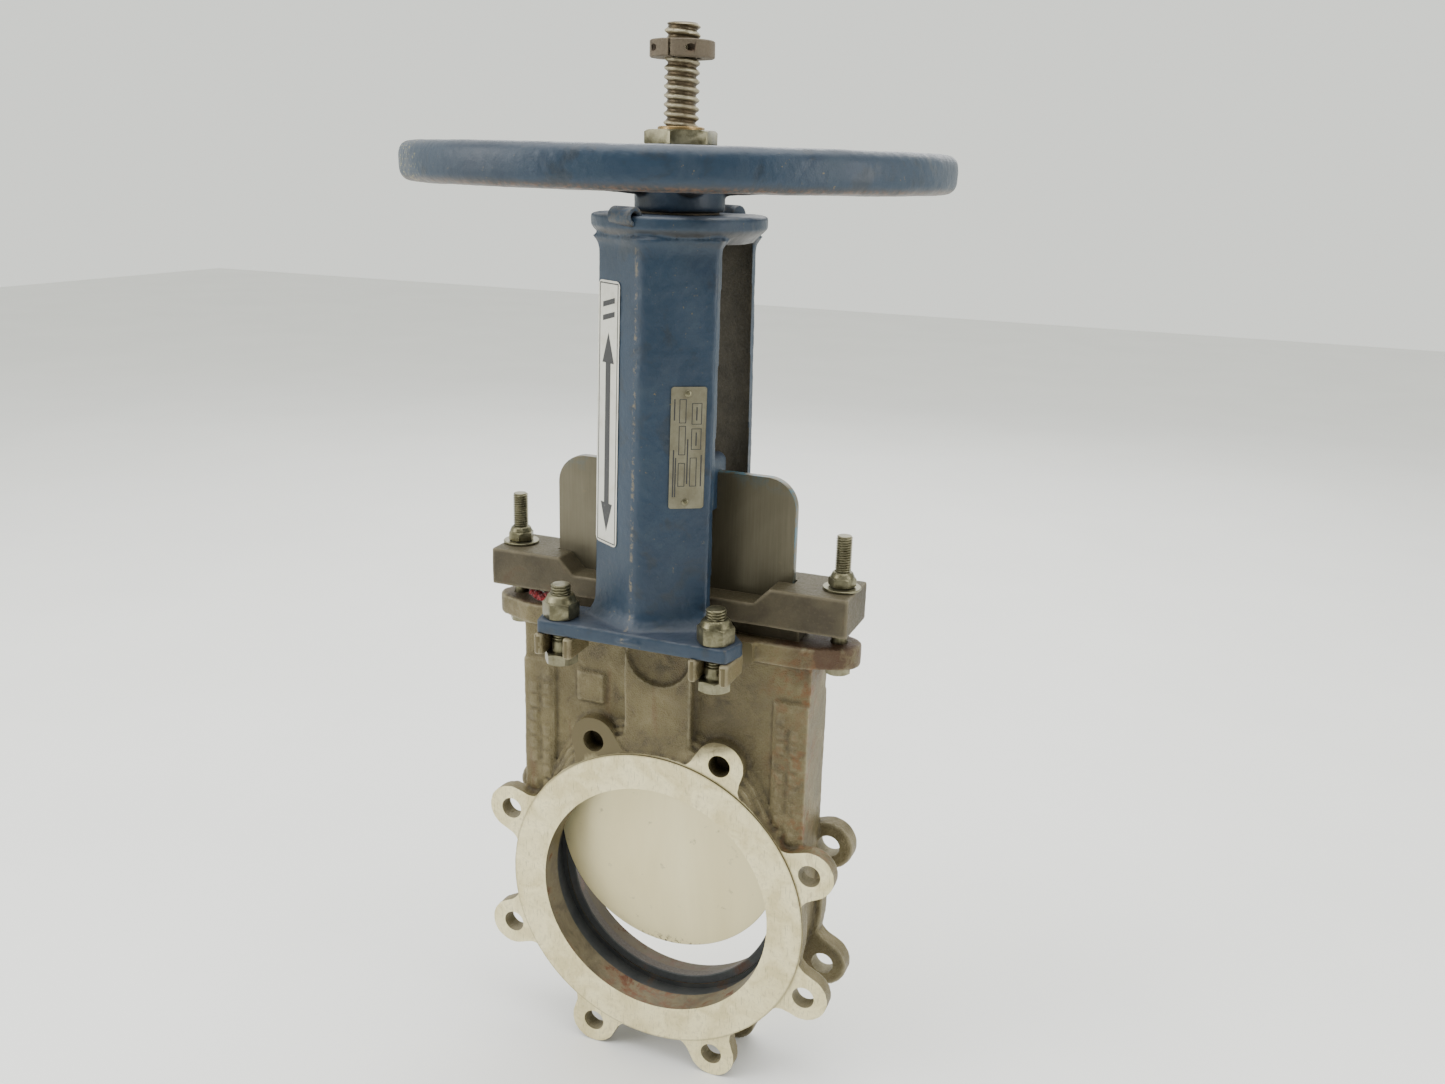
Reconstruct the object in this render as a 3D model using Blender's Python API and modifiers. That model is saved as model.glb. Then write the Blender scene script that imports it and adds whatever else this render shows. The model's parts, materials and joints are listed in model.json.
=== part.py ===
"""Knife gate valve, 8 inch, with rising stem and handwheel.

Metres, +Z up. The origin is under the stem, on the surface that the lowest lugs stand on.
The bore runs along Y and its front flange faces -Y. The stem axis is the Z axis.
The gate is drawn a fifth open, as it stands between its two stops.
"""
import math

import bmesh
import bpy
from mathutils import Matrix, Vector

MM = 0.001
GAP = 0.3 * MM                      # between pieces that touch
BORE_SEGMENTS = 56
TURNED_SEGMENTS = 32

# Flanges and bore: 8 inch, class 150, eight lugs that straddle the centre line
BOLT_CIRCLE_RADIUS = 149.2 * MM
LUG_COUNT = 8
LUG_RADIUS = 21.0 * MM
LUG_HOLE_RADIUS = 9.5 * MM
LUG_ANGLE = math.pi / LUG_COUNT     # first lug, from the horizontal
BORE_RADIUS = 104.0 * MM
FACE_TO_FACE = 69.85 * MM
RAISED_FACE_RADIUS = 134.6 * MM
RAISED_FACE_HEIGHT = 1.6 * MM
FLANGE_THICKNESS = 14.0 * MM
LUG_SETBACK = 0.2 * MM              # each side of a lug, from the flange's own sides
SEAT_RADIUS = 96.0 * MM             # at its face; it widens towards the rear
SEAT_BACK_RADIUS = 98.8 * MM
SEAT_DEPTH = 12.0 * MM

# The bore's height follows from the lowest lugs standing on the ground
BORE_Z = BOLT_CIRCLE_RADIUS * math.cos(LUG_ANGLE) + LUG_RADIUS

# Heights above the bore's centre
CHEST_TOP = 249.0 * MM
TOP_PLATE_THICKNESS = 17.5 * MM
GLAND_BOTTOM = 261.4 * MM
GLAND_TOP = 292.9 * MM
GLAND_MIDDLE_TOP = 279.5 * MM
FOOT_TOP = 260.4 * MM
CAP_BOTTOM = 550.0 * MM
CAP_TOP = 570.0 * MM
STEM_TOP = 704.0 * MM
COLLAR_BOTTOM = 680.0 * MM
COLLAR_TOP = 692.0 * MM

# Housing
CHEST_HALF_WIDTH = 128.0 * MM
CHEST_HALF_DEPTH = 21.5 * MM
SHOULDER_RADIUS = 152.0 * MM
SHOULDER_HALF_DEPTH = 27.0 * MM
SHOULDER_HALF_WIDTH = 112.0 * MM
TOP_PLATE_HALF_WIDTH = 134.0 * MM
TOP_PLATE_HALF_DEPTH = 27.5 * MM
GLAND_STUD_X = 142.5 * MM
EAR_RADIUS = 18.0 * MM
ARM_X = 66.0 * MM
ARM_HALF_WIDTH = 16.5 * MM
ARM_END = 88.0 * MM
YOKE_BOLT_Y = 70.5 * MM
YOKE_SLOT_HALF_WIDTH = 8.8 * MM
BOSS_HALF_WIDTH = 30.0 * MM
BOSS_FRONT = 31.0 * MM
BOSS_BOTTOM = 140.0 * MM

# Gate, its slot and the packing box
GATE_THICKNESS = 8.0 * MM
GATE_HALF_WIDTH = 103.5 * MM
GATE_ROUND_CENTRE = 45.0 * MM
GATE_TOP = 375.4 * MM
GATE_CORNER_RADIUS = 24.0 * MM
SLOT_HALF_WIDTH = 105.0 * MM
SLOT_THICKNESS = 9.2 * MM
SLOT_ROUND_CENTRE = -2.5 * MM
PACKING_BOX_HALF_WIDTH = 114.0 * MM
PACKING_BOX_HALF_DEPTH = 14.0 * MM
PACKING_BOX_BOTTOM = 205.0 * MM
PACKING_RING_COUNT = 4
PACKING_RING_HEIGHT = 8.3 * MM

# Gland
GLAND_HALF_LENGTH = 155.5 * MM
GLAND_HALF_DEPTH = 27.1 * MM
GLAND_RAMP_OUTER = 92.0 * MM
GLAND_RAMP_INNER = 79.0 * MM

# Yoke
LEG_HALF_WIDTH = 48.0 * MM
LEG_EDGE_Y = 39.0 * MM              # outer skin at the leg's edges, at the cap
LEG_RIDGE_Y = 65.0 * MM             # outer skin at the leg's ridge, at the cap
LEG_RIDGE_ROUND = 12.0 * MM
LEG_WALL = 8.5 * MM
LEG_SPLAY = 8.0 / 290.0             # outward run for each metre down
FOOT_HALF_WIDTH = 85.0 * MM
FOOT_FRONT = 85.0 * MM
CAP_RADIUS = 67.0 * MM

# Stem, nut and handwheel
STEM_RADIUS = 13.2 * MM
STEM_BOTTOM = 378.5 * MM
NUT_BORE_RADIUS = 13.6 * MM
NUT_SHANK_RADIUS = 19.0 * MM
NUT_FLANGE_RADIUS = 27.0 * MM
NUT_TOP = 632.5 * MM
NUT_NECK_RADIUS = 17.5 * MM
BUSH_RADIUS = 23.0 * MM
HUB_RADIUS = 34.4 * MM
HUB_BOTTOM = 571.8 * MM
HUB_TOP = 618.5 * MM
WHEEL_RADIUS = 204.5 * MM
RIM_WIDTH = 29.0 * MM
RIM_BOTTOM = 589.3 * MM
RIM_TOP = 617.6 * MM
SPOKE_COUNT = 5

# Block that joins stem and gate
CLEVIS_HALF_WIDTH = 38.0 * MM
CLEVIS_HALF_DEPTH = 14.0 * MM
CLEVIS_BOTTOM = 345.0 * MM
CLEVIS_TOP = 388.0 * MM
CLEVIS_BOLT_X = (-22.0 * MM, 22.0 * MM)
CLEVIS_BOLT_Z = 360.0 * MM
CLEVIS_BOLT_RADIUS = 5.0 * MM
CLEVIS_HEX = 17.0 * MM

# Fasteners; HEX is the size across the flats
GLAND_BOLT_RADIUS = 6.3 * MM
GLAND_BOLT_HOLE_RADIUS = 7.0 * MM
GLAND_BOLT_TOP = 336.0 * MM
GLAND_HEX = 19.0 * MM
YOKE_BOLT_RADIUS = 7.9 * MM
YOKE_BOLT_HOLE_RADIUS = 8.6 * MM
YOKE_BOLT_TOP = 287.5 * MM
YOKE_BOLT_HEX = 24.0 * MM
YOKE_NUT_HEX = 25.4 * MM
WHEEL_NUT_HEX = 48.5 * MM
WHEEL_NUT_TOP = 630.0 * MM
KEY_HALF_WIDTH = 4.0 * MM

# Stop collar on the stem
COLLAR_RADIUS = 23.9 * MM
COLLAR_SPLIT_HALF_WIDTH = 1.0 * MM
COLLAR_SCREW_Y = -18.6 * MM
COLLAR_SCREW_RADIUS = 2.3 * MM

# Grease boss at the front of the cap; a second one is opposite
GREASE_BOSS_RADIUS = 7.5 * MM
GREASE_HOLE_RADIUS = 3.0 * MM
GREASE_BOSS_Z = 568.5 * MM

# Plates on the front leg
NAMEPLATE_X = (16.0 * MM, 44.0 * MM)
NAMEPLATE_Z = (357.0 * MM, 449.0 * MM)
NAMEPLATE_PIN_Z = (362.0 * MM, 444.0 * MM)
LABEL_X = (-46.0 * MM, -25.0 * MM)
LABEL_Z = (320.0 * MM, 522.0 * MM)

# Sizes that follow from the ones above
NUT_FLANGE_BOTTOM = CAP_BOTTOM + 0.5 * MM
NUT_FLANGE_TOP = CAP_BOTTOM + 7.0 * MM
NUT_RECESS_TOP = CAP_BOTTOM + 9.5 * MM
KEY_BOTTOM = HUB_BOTTOM + 2.0 * MM
LEG_TOP = CAP_BOTTOM + 4.0 * MM

PART_NAME = "gate_valve"
COLORS = {
    "cast_stainless": ((0.27, 0.23, 0.15), 0.62, 0.5),
    "gate_stainless": ((0.46, 0.43, 0.36), 0.35, 0.9),
    "blue_paint": ((0.035, 0.085, 0.16), 0.45, 0.0),
    "gland_steel": ((0.22, 0.18, 0.12), 0.65, 0.4),
    "zinc_plate": ((0.52, 0.50, 0.42), 0.35, 0.9),
    "bronze": ((0.45, 0.28, 0.10), 0.35, 0.9),
    "stem_steel": ((0.24, 0.20, 0.14), 0.45, 0.8),
    "rusty_steel": ((0.16, 0.085, 0.045), 0.75, 0.4),
    "packing_fibre": ((0.45, 0.03, 0.03), 0.9, 0.0),
    "seat_metal": ((0.09, 0.09, 0.09), 0.4, 0.6),
    "nameplate_metal": ((0.42, 0.38, 0.28), 0.4, 0.8),
    "label_vinyl": ((0.85, 0.85, 0.82), 0.4, 0.0),
}


# Scene and materials --------------------------------------------------------------------

def clear_scene():
    for item in list(bpy.data.objects):
        bpy.data.objects.remove(item, do_unlink=True)


def make_collection(name):
    collection = bpy.data.collections.new(name)
    bpy.context.scene.collection.children.link(collection)
    return collection


def make_materials():
    materials = {}
    for name, (color, roughness, metallic) in COLORS.items():
        material = bpy.data.materials.new(name)
        material.use_nodes = True
        shader = material.node_tree.nodes["Principled BSDF"]
        shader.inputs["Base Color"].default_value = (*color, 1.0)
        shader.inputs["Roughness"].default_value = roughness
        shader.inputs["Metallic"].default_value = metallic
        materials[name] = material
    return materials


clear_scene()
parts = make_collection(PART_NAME)
cutters = make_collection("cutters")
materials = make_materials()


# Building blocks: each returns a mesh object in the cutters collection ------------------

def from_bmesh(name, bm):
    mesh = bpy.data.meshes.new(name)
    bm.to_mesh(mesh)
    bm.free()
    item = bpy.data.objects.new(name, mesh)
    cutters.objects.link(item)
    return item


def box(name, low, high):
    """A box between two corners."""
    low = Vector(low)
    high = Vector(high)
    bm = bmesh.new()
    bmesh.ops.create_cube(bm, size=1.0)
    bmesh.ops.scale(bm, vec=high - low, verts=bm.verts)
    bmesh.ops.translate(bm, vec=(low + high) / 2, verts=bm.verts)
    return from_bmesh(name, bm)


def centred_box(name, half_x, half_y, bottom, top):
    """A box that is centred on the stem axis."""
    return box(name, (-half_x, -half_y, bottom), (half_x, half_y, top))


def cylinder(name, radius, start, end, segments=32, end_radius=None):
    """A cylinder or cone between two points."""
    start = Vector(start)
    end = Vector(end)
    bm = bmesh.new()
    bmesh.ops.create_cone(bm, cap_ends=True, segments=segments, radius1=radius,
                          radius2=radius if end_radius is None else end_radius,
                          depth=(end - start).length)
    along = (end - start).to_track_quat("Z", "Y").to_matrix().to_4x4()
    bmesh.ops.transform(bm, matrix=Matrix.Translation((start + end) / 2) @ along, verts=bm.verts)
    return from_bmesh(name, bm)


def mesh_of_curve(name, curve_object):
    """Turn a curve object into a closed mesh object and remove the curve."""
    depsgraph = bpy.context.evaluated_depsgraph_get()
    mesh = bpy.data.meshes.new_from_object(curve_object.evaluated_get(depsgraph))
    bm = bmesh.new()
    bm.from_mesh(mesh)
    bmesh.ops.remove_doubles(bm, verts=bm.verts, dist=0.00001)
    bmesh.ops.dissolve_limit(bm, angle_limit=math.radians(0.5), verts=bm.verts, edges=bm.edges)
    bmesh.ops.recalc_face_normals(bm, faces=bm.faces)
    bmesh.ops.transform(bm, matrix=curve_object.matrix_world, verts=bm.verts)
    bpy.data.objects.remove(curve_object, do_unlink=True)
    bpy.data.meshes.remove(mesh)
    return from_bmesh(name, bm)


def plate(name, outline, low, high, upright=False):
    """A flat outline given thickness: (x, y) along Z, or upright (x, z) along Y."""
    curve = bpy.data.curves.new(name, "CURVE")
    curve.dimensions = "2D"
    curve.fill_mode = "BOTH"
    curve.extrude = (high - low) / 2
    spline = curve.splines.new("POLY")
    spline.points.add(len(outline) - 1)
    for point, (u, v) in zip(spline.points, outline):
        point.co = (u, v, 0.0, 1.0)
    spline.use_cyclic_u = True
    item = bpy.data.objects.new(name, curve)
    cutters.objects.link(item)
    middle = (low + high) / 2
    item.location = (0.0, middle, 0.0) if upright else (0.0, 0.0, middle)
    if upright:
        item.rotation_euler = (math.pi / 2, 0.0, 0.0)
    bpy.context.view_layer.update()
    return mesh_of_curve(name, item)


def turned(name, profile, steps=TURNED_SEGMENTS):
    """A solid turned about the Z axis; the profile (radius, z) runs from top to bottom."""
    bm = bmesh.new()
    verts = [bm.verts.new((radius, 0.0, z)) for radius, z in profile]
    for first, second in zip(verts, verts[1:]):
        bm.edges.new((first, second))
    item = from_bmesh(name, bm)
    screw = item.modifiers.new("turn", "SCREW")
    screw.axis = "Z"
    screw.steps = steps
    screw.render_steps = steps
    screw.use_merge_vertices = True
    screw.merge_threshold = 0.00001
    screw.use_smooth_shade = False
    bpy.context.view_layer.update()
    depsgraph = bpy.context.evaluated_depsgraph_get()
    solid = bpy.data.meshes.new_from_object(item.evaluated_get(depsgraph))
    item.modifiers.clear()
    item.data = solid
    return item


def arc(centre, radius, start, end, count):
    """Points on an arc, angles in degrees, both ends included."""
    points = []
    for step in range(count + 1):
        angle = math.radians(start + (end - start) * step / count)
        points.append((centre[0] + radius * math.cos(angle), centre[1] + radius * math.sin(angle)))
    return points


def is_closed(mesh):
    bm = bmesh.new()
    bm.from_mesh(mesh)
    closed = all(len(edge.link_faces) == 2 for edge in bm.edges)
    bm.free()
    return closed


def combine(base, tool, operation):
    """Apply one Boolean to the base and remove the tool; exact first, else manifold."""
    modifier = base.modifiers.new(operation.lower(), "BOOLEAN")
    modifier.operation = operation
    modifier.object = tool
    for solver in ("EXACT", "MANIFOLD"):
        modifier.solver = solver
        bpy.context.view_layer.update()
        depsgraph = bpy.context.evaluated_depsgraph_get()
        result = bpy.data.meshes.new_from_object(base.evaluated_get(depsgraph))
        if is_closed(result):
            break
    base.modifiers.clear()
    base.data = result
    bpy.data.objects.remove(tool, do_unlink=True)
    return base


def union(base, *tools):
    for tool in tools:
        combine(base, tool, "UNION")
    return base


def cut(base, *tools):
    for tool in tools:
        combine(base, tool, "DIFFERENCE")
    return base


def finish(item, name, material, sharp=35.0):
    """Name a finished piece, shade it and move it into the part's collection."""
    item.name = name
    item.data.name = name
    item.data.materials.clear()
    item.data.materials.append(materials[material])
    item.data.shade_smooth()
    item.data.set_sharp_from_angle(angle=math.radians(sharp))
    cutters.objects.unlink(item)
    parts.objects.link(item)
    return item


def finish_each(items, name, material):
    """Finish copies of one piece, numbered from 1."""
    for index, item in enumerate(items, start=1):
        finish(item, f"{name}_{index}", material)


def above_bore(height):
    return BORE_Z + height


def at(x, y, height):
    """A point given by its height above the bore's centre."""
    return (x, y, above_bore(height))


def hexagon(name, across_flats, x, y, low, high):
    """A hexagon prism standing along Z."""
    corner = across_flats / math.sqrt(3)
    return cylinder(name, corner, at(x, y, low), at(x, y, high), segments=6)


def lug_positions():
    for index in range(LUG_COUNT):
        angle = LUG_ANGLE + 2 * math.pi * index / LUG_COUNT
        yield (BOLT_CIRCLE_RADIUS * math.cos(angle), BOLT_CIRCLE_RADIUS * math.sin(angle), angle)


def yoke_bolt_positions():
    for side_y in (-1, 1):
        for side_x in (-1, 1):
            yield (side_x * ARM_X, side_y * YOKE_BOLT_Y)


# Body -----------------------------------------------------------------------------------

def upright_plate(name, outline, low, high):
    """An upright plate whose outline is given about the bore's centre."""
    return plate(name, [(x, above_bore(z)) for x, z in outline], low, high, upright=True)


def lug(name, x, z, angle, low, high):
    """A round ear joined to the flange by straight flanks."""
    inner = RAISED_FACE_RADIUS * 0.8
    side = Vector((-math.sin(angle), math.cos(angle))) * LUG_RADIUS
    foot = Vector((math.cos(angle), math.sin(angle))) * inner
    outline = [tuple(foot - side * 1.25)]
    outline += arc((x, z), LUG_RADIUS, math.degrees(angle) - 90, math.degrees(angle) + 90, 12)
    outline.append(tuple(foot + side * 1.25))
    return upright_plate(name, outline, low, high)


def flange(side):
    """One flange with its raised face and eight lugs; side -1 is the front."""
    face = side * FACE_TO_FACE / 2
    rim = face - side * RAISED_FACE_HEIGHT
    back = rim - side * FLANGE_THICKNESS
    solid = cylinder("flange", RAISED_FACE_RADIUS, (0, back, BORE_Z), (0, face, BORE_Z),
                     segments=BORE_SEGMENTS)
    low, high = sorted((rim, back))
    for x, z, angle in lug_positions():
        union(solid, lug("lug", x, z, angle, low + LUG_SETBACK, high - LUG_SETBACK))
    return solid


def chest():
    """The flat housing that holds the gate, with its rounded lower end."""
    outline = [(CHEST_HALF_WIDTH, CHEST_TOP - TOP_PLATE_THICKNESS / 2)]
    outline += reversed(arc((0, 0), CHEST_HALF_WIDTH, -180, 0, 28))
    outline.append((-CHEST_HALF_WIDTH, CHEST_TOP - TOP_PLATE_THICKNESS / 2))
    return upright_plate("chest", outline, -CHEST_HALF_DEPTH, CHEST_HALF_DEPTH)


def shoulder():
    """The stepped neck behind both flanges."""
    limit = math.degrees(math.acos(SHOULDER_HALF_WIDTH / SHOULDER_RADIUS))
    outline = arc((0, 0), SHOULDER_RADIUS, limit, 180 - limit, 24)
    outline += [(-SHOULDER_HALF_WIDTH, 0.0), (SHOULDER_HALF_WIDTH, 0.0)]
    return upright_plate("shoulder", outline, -SHOULDER_HALF_DEPTH, SHOULDER_HALF_DEPTH)


def plate_quarter():
    """A quarter of the plate's outline, from the ear to the middle of the long side."""
    prong = (ARM_HALF_WIDTH - YOKE_SLOT_HALF_WIDTH) / 2
    prong_offset = YOKE_SLOT_HALF_WIDTH + prong
    tip = ARM_END - prong
    slot_end = (ARM_X, YOKE_BOLT_Y - 4 * MM)
    outline = arc((GLAND_STUD_X, 0), EAR_RADIUS, 0, 60, 6)
    outline.append((TOP_PLATE_HALF_WIDTH - 12 * MM, TOP_PLATE_HALF_DEPTH))
    outline.append((ARM_X + ARM_HALF_WIDTH, TOP_PLATE_HALF_DEPTH))
    outline += arc((ARM_X + prong_offset, tip), prong, 0, 180, 8)
    outline += arc(slot_end, YOKE_SLOT_HALF_WIDTH, 0, -180, 10)
    outline += arc((ARM_X - prong_offset, tip), prong, 0, 180, 8)
    outline.append((ARM_X - ARM_HALF_WIDTH, TOP_PLATE_HALF_DEPTH))
    return outline


def top_plate():
    """The plate round the packing box: an ear at each end and four slotted arms."""
    quarter = plate_quarter()
    outline = list(quarter)
    outline += [(-x, y) for x, y in reversed(quarter)]
    outline += [(-x, -y) for x, y in quarter[1:]]
    outline += [(x, -y) for x, y in reversed(quarter[1:])]
    low = above_bore(CHEST_TOP - TOP_PLATE_THICKNESS)
    return plate("top plate", outline, low, above_bore(CHEST_TOP))


def cut_bore(body):
    """A straight bore to the back of the seat, then a taper to the rear face."""
    seat_back = SLOT_THICKNESS / 2 + SEAT_DEPTH + 2 * GAP
    rear = FACE_TO_FACE / 2
    cut(body, cylinder("bore", BORE_RADIUS, (0, -FACE_TO_FACE, BORE_Z), (0, seat_back, BORE_Z),
                       segments=BORE_SEGMENTS))
    cut(body, cylinder("rear bore", SEAT_BACK_RADIUS, (0, 0, BORE_Z), (0, rear + MM, BORE_Z),
                       segments=BORE_SEGMENTS, end_radius=BORE_RADIUS))


def cut_lug_holes(body):
    """A hole through each lug; behind the top lugs the housing closes it."""
    depth = RAISED_FACE_HEIGHT + FLANGE_THICKNESS
    for x, z, _ in lug_positions():
        for side in (-1, 1):
            start = (x, side * FACE_TO_FACE, above_bore(z))
            end = (x, side * (FACE_TO_FACE / 2 - depth), above_bore(z))
            cut(body, cylinder("lug hole", LUG_HOLE_RADIUS, start, end, segments=20))


def make_body():
    body = chest()
    union(body, shoulder(), top_plate())
    for side in (-1, 1):
        union(body, flange(side))
    union(body, box("boss", at(-BOSS_HALF_WIDTH, -BOSS_FRONT, BOSS_BOTTOM),
                    at(BOSS_HALF_WIDTH, BOSS_FRONT, CHEST_TOP - TOP_PLATE_THICKNESS / 2)))
    cut_bore(body)
    cut_lug_holes(body)
    slot = [(SLOT_HALF_WIDTH, CHEST_TOP * 1.1)]
    slot += reversed(arc((0, SLOT_ROUND_CENTRE), SLOT_HALF_WIDTH + 0.7 * MM, -180, 0, 32))
    slot.append((-SLOT_HALF_WIDTH, CHEST_TOP * 1.1))
    cut(body, upright_plate("gate slot", slot, -SLOT_THICKNESS / 2, SLOT_THICKNESS / 2))
    cut(body, centred_box("packing box", PACKING_BOX_HALF_WIDTH, PACKING_BOX_HALF_DEPTH,
                          above_bore(PACKING_BOX_BOTTOM), above_bore(CHEST_TOP + 5 * MM)))
    low = above_bore(CHEST_TOP - 2 * TOP_PLATE_THICKNESS)
    for side in (-1, 1):
        cut(body, cylinder("ear hole", GLAND_BOLT_HOLE_RADIUS, (side * GLAND_STUD_X, 0, low),
                           (side * GLAND_STUD_X, 0, above_bore(CHEST_TOP + 5 * MM)), segments=20))
    finish(body, "body", "cast_stainless", 40)


def make_seat_ring():
    """The ring that the gate closes against, set in the rear of the bore."""
    front = SLOT_THICKNESS / 2 + GAP
    back = front + SEAT_DEPTH
    ring = cylinder("seat", BORE_RADIUS - GAP, (0, front, BORE_Z), (0, back, BORE_Z),
                    segments=BORE_SEGMENTS)
    cut(ring, cylinder("seat bore", SEAT_RADIUS, (0, front - MM, BORE_Z), (0, back + MM, BORE_Z),
                       segments=BORE_SEGMENTS, end_radius=SEAT_BACK_RADIUS))
    finish(ring, "seat_ring", "seat_metal")


# Gate, packing and gland ----------------------------------------------------------------

def make_gate():
    corner = GATE_CORNER_RADIUS
    top_corner = (GATE_HALF_WIDTH - corner, GATE_TOP - corner)
    outline = arc((0, GATE_ROUND_CENTRE), GATE_HALF_WIDTH, -180, 0, 32)
    outline += arc(top_corner, corner, 0, 90, 6)
    outline += arc((-top_corner[0], top_corner[1]), corner, 90, 180, 6)
    gate = upright_plate("gate", outline, -GATE_THICKNESS / 2, GATE_THICKNESS / 2)
    for x in CLEVIS_BOLT_X:
        cut(gate, cylinder("gate hole", CLEVIS_BOLT_RADIUS + GAP, at(x, -0.02, CLEVIS_BOLT_Z),
                           at(x, 0.02, CLEVIS_BOLT_Z), segments=16))
    finish(gate, "gate", "gate_stainless")


def make_packing():
    """Square rings that fit round the gate, stacked in the packing box."""
    rings = []
    for index in range(PACKING_RING_COUNT):
        low = above_bore(PACKING_BOX_BOTTOM + GAP) + index * (PACKING_RING_HEIGHT + GAP)
        high = low + PACKING_RING_HEIGHT
        ring = centred_box("ring", PACKING_BOX_HALF_WIDTH - GAP, PACKING_BOX_HALF_DEPTH - GAP,
                           low, high)
        cut(ring, centred_box("ring hole", GATE_HALF_WIDTH + GAP, GATE_THICKNESS / 2 + GAP,
                              low - MM, high + MM))
        rings.append(ring)
    finish_each(rings, "packing_ring", "packing_fibre")


def make_gland():
    """The follower bar: high ends, a lower middle, and a nose that presses the packing."""
    outline = [(GLAND_HALF_LENGTH, GLAND_BOTTOM), (GLAND_HALF_LENGTH, GLAND_TOP),
               (GLAND_RAMP_OUTER, GLAND_TOP), (GLAND_RAMP_INNER, GLAND_MIDDLE_TOP)]
    outline += [(-x, z) for x, z in reversed(outline)]
    gland = upright_plate("gland", outline, -GLAND_HALF_DEPTH, GLAND_HALF_DEPTH)
    stack = PACKING_RING_COUNT * (PACKING_RING_HEIGHT + GAP) + GAP
    nose_bottom = above_bore(PACKING_BOX_BOTTOM) + stack
    union(gland, centred_box("nose", PACKING_BOX_HALF_WIDTH - 2 * GAP,
                             PACKING_BOX_HALF_DEPTH - 2 * GAP, nose_bottom,
                             above_bore(GLAND_BOTTOM + 5 * MM)))
    cut(gland, centred_box("gate slot", SLOT_HALF_WIDTH, SLOT_THICKNESS / 2 + 0.2 * MM,
                           nose_bottom - MM, above_bore(GLAND_TOP + MM)))
    for side in (-1, 1):
        cut(gland, cylinder("stud hole", GLAND_BOLT_HOLE_RADIUS,
                            at(side * GLAND_STUD_X, 0, GLAND_BOTTOM - MM),
                            at(side * GLAND_STUD_X, 0, GLAND_TOP + MM), segments=20))
    finish(gland, "packing_gland", "gland_steel")


def make_gland_fasteners():
    """Long bolts up through the ears and gland, with a washer and nut on each."""
    head_top = CHEST_TOP - TOP_PLATE_THICKNESS - GAP
    washer_low = GLAND_TOP + GAP
    washer_high = washer_low + 1.8 * MM
    nut_low = washer_high + GAP
    nut_high = nut_low + 12.2 * MM
    bolts, washers, nuts = [], [], []
    for side in (-1, 1):
        x = side * GLAND_STUD_X
        bolt = hexagon("head", GLAND_HEX, x, 0, head_top - 8 * MM, head_top)
        union(bolt, cylinder("shank", GLAND_BOLT_RADIUS, at(x, 0, head_top - MM),
                             at(x, 0, GLAND_BOLT_TOP), segments=20))
        bolts.append(bolt)
        washer = cylinder("washer", 15.0 * MM, at(x, 0, washer_low), at(x, 0, washer_high))
        cut(washer, cylinder("hole", GLAND_BOLT_RADIUS + 2 * GAP, at(x, 0, washer_low - MM),
                             at(x, 0, washer_high + MM), segments=20))
        washers.append(washer)
        nut = hexagon("nut", GLAND_HEX, x, 0, nut_low, nut_low + 7.5 * MM)
        union(nut, cylinder("crown", 10.2 * MM, at(x, 0, nut_low + 7 * MM), at(x, 0, nut_high),
                            segments=24, end_radius=8.0 * MM))
        cut(nut, cylinder("thread", GLAND_BOLT_RADIUS + GAP, at(x, 0, nut_low - MM),
                          at(x, 0, nut_high + MM), segments=20))
        nuts.append(nut)
    finish_each(bolts, "gland_bolt", "zinc_plate")
    finish_each(washers, "gland_washer", "zinc_plate")
    finish_each(nuts, "gland_nut", "zinc_plate")


# Yoke -----------------------------------------------------------------------------------

def leg_skin(x):
    """How far out the leg's outer skin stands at x, at the cap: a V with a rounded ridge."""
    bend = LEG_RIDGE_ROUND
    fall = (math.hypot(x, bend) - bend) / (math.hypot(LEG_HALF_WIDTH, bend) - bend)
    return LEG_RIDGE_Y - (LEG_RIDGE_Y - LEG_EDGE_Y) * fall


def yoke_leg(side):
    """One leg: a V-shaped shell between foot and cap that leans outward going down."""
    steps = 14
    across = [LEG_HALF_WIDTH * (2 * step / steps - 1) for step in range(steps + 1)]
    outline = [(x, leg_skin(x) - LEG_WALL) for x in across]
    outline += [(x, leg_skin(x)) for x in reversed(across)]
    outline = [(x, side * y) for x, y in outline]
    if side < 0:
        outline.reverse()
    top = above_bore(LEG_TOP)
    leg = plate("leg", outline, above_bore(FOOT_TOP - 6 * MM), top)
    for vertex in leg.data.vertices:
        vertex.co.y += side * (top - vertex.co.z) * LEG_SPLAY
    return leg


def foot(side):
    """One foot plate with clipped corners."""
    inner = 40.0 * MM
    outline = [(-80 * MM, FOOT_FRONT), (80 * MM, FOOT_FRONT), (FOOT_HALF_WIDTH, 62 * MM),
               (68 * MM, inner), (-68 * MM, inner), (-FOOT_HALF_WIDTH, 62 * MM)]
    outline = [(x, side * y) for x, y in outline]
    return plate("foot", outline, above_bore(CHEST_TOP + GAP), above_bore(FOOT_TOP))


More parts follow.
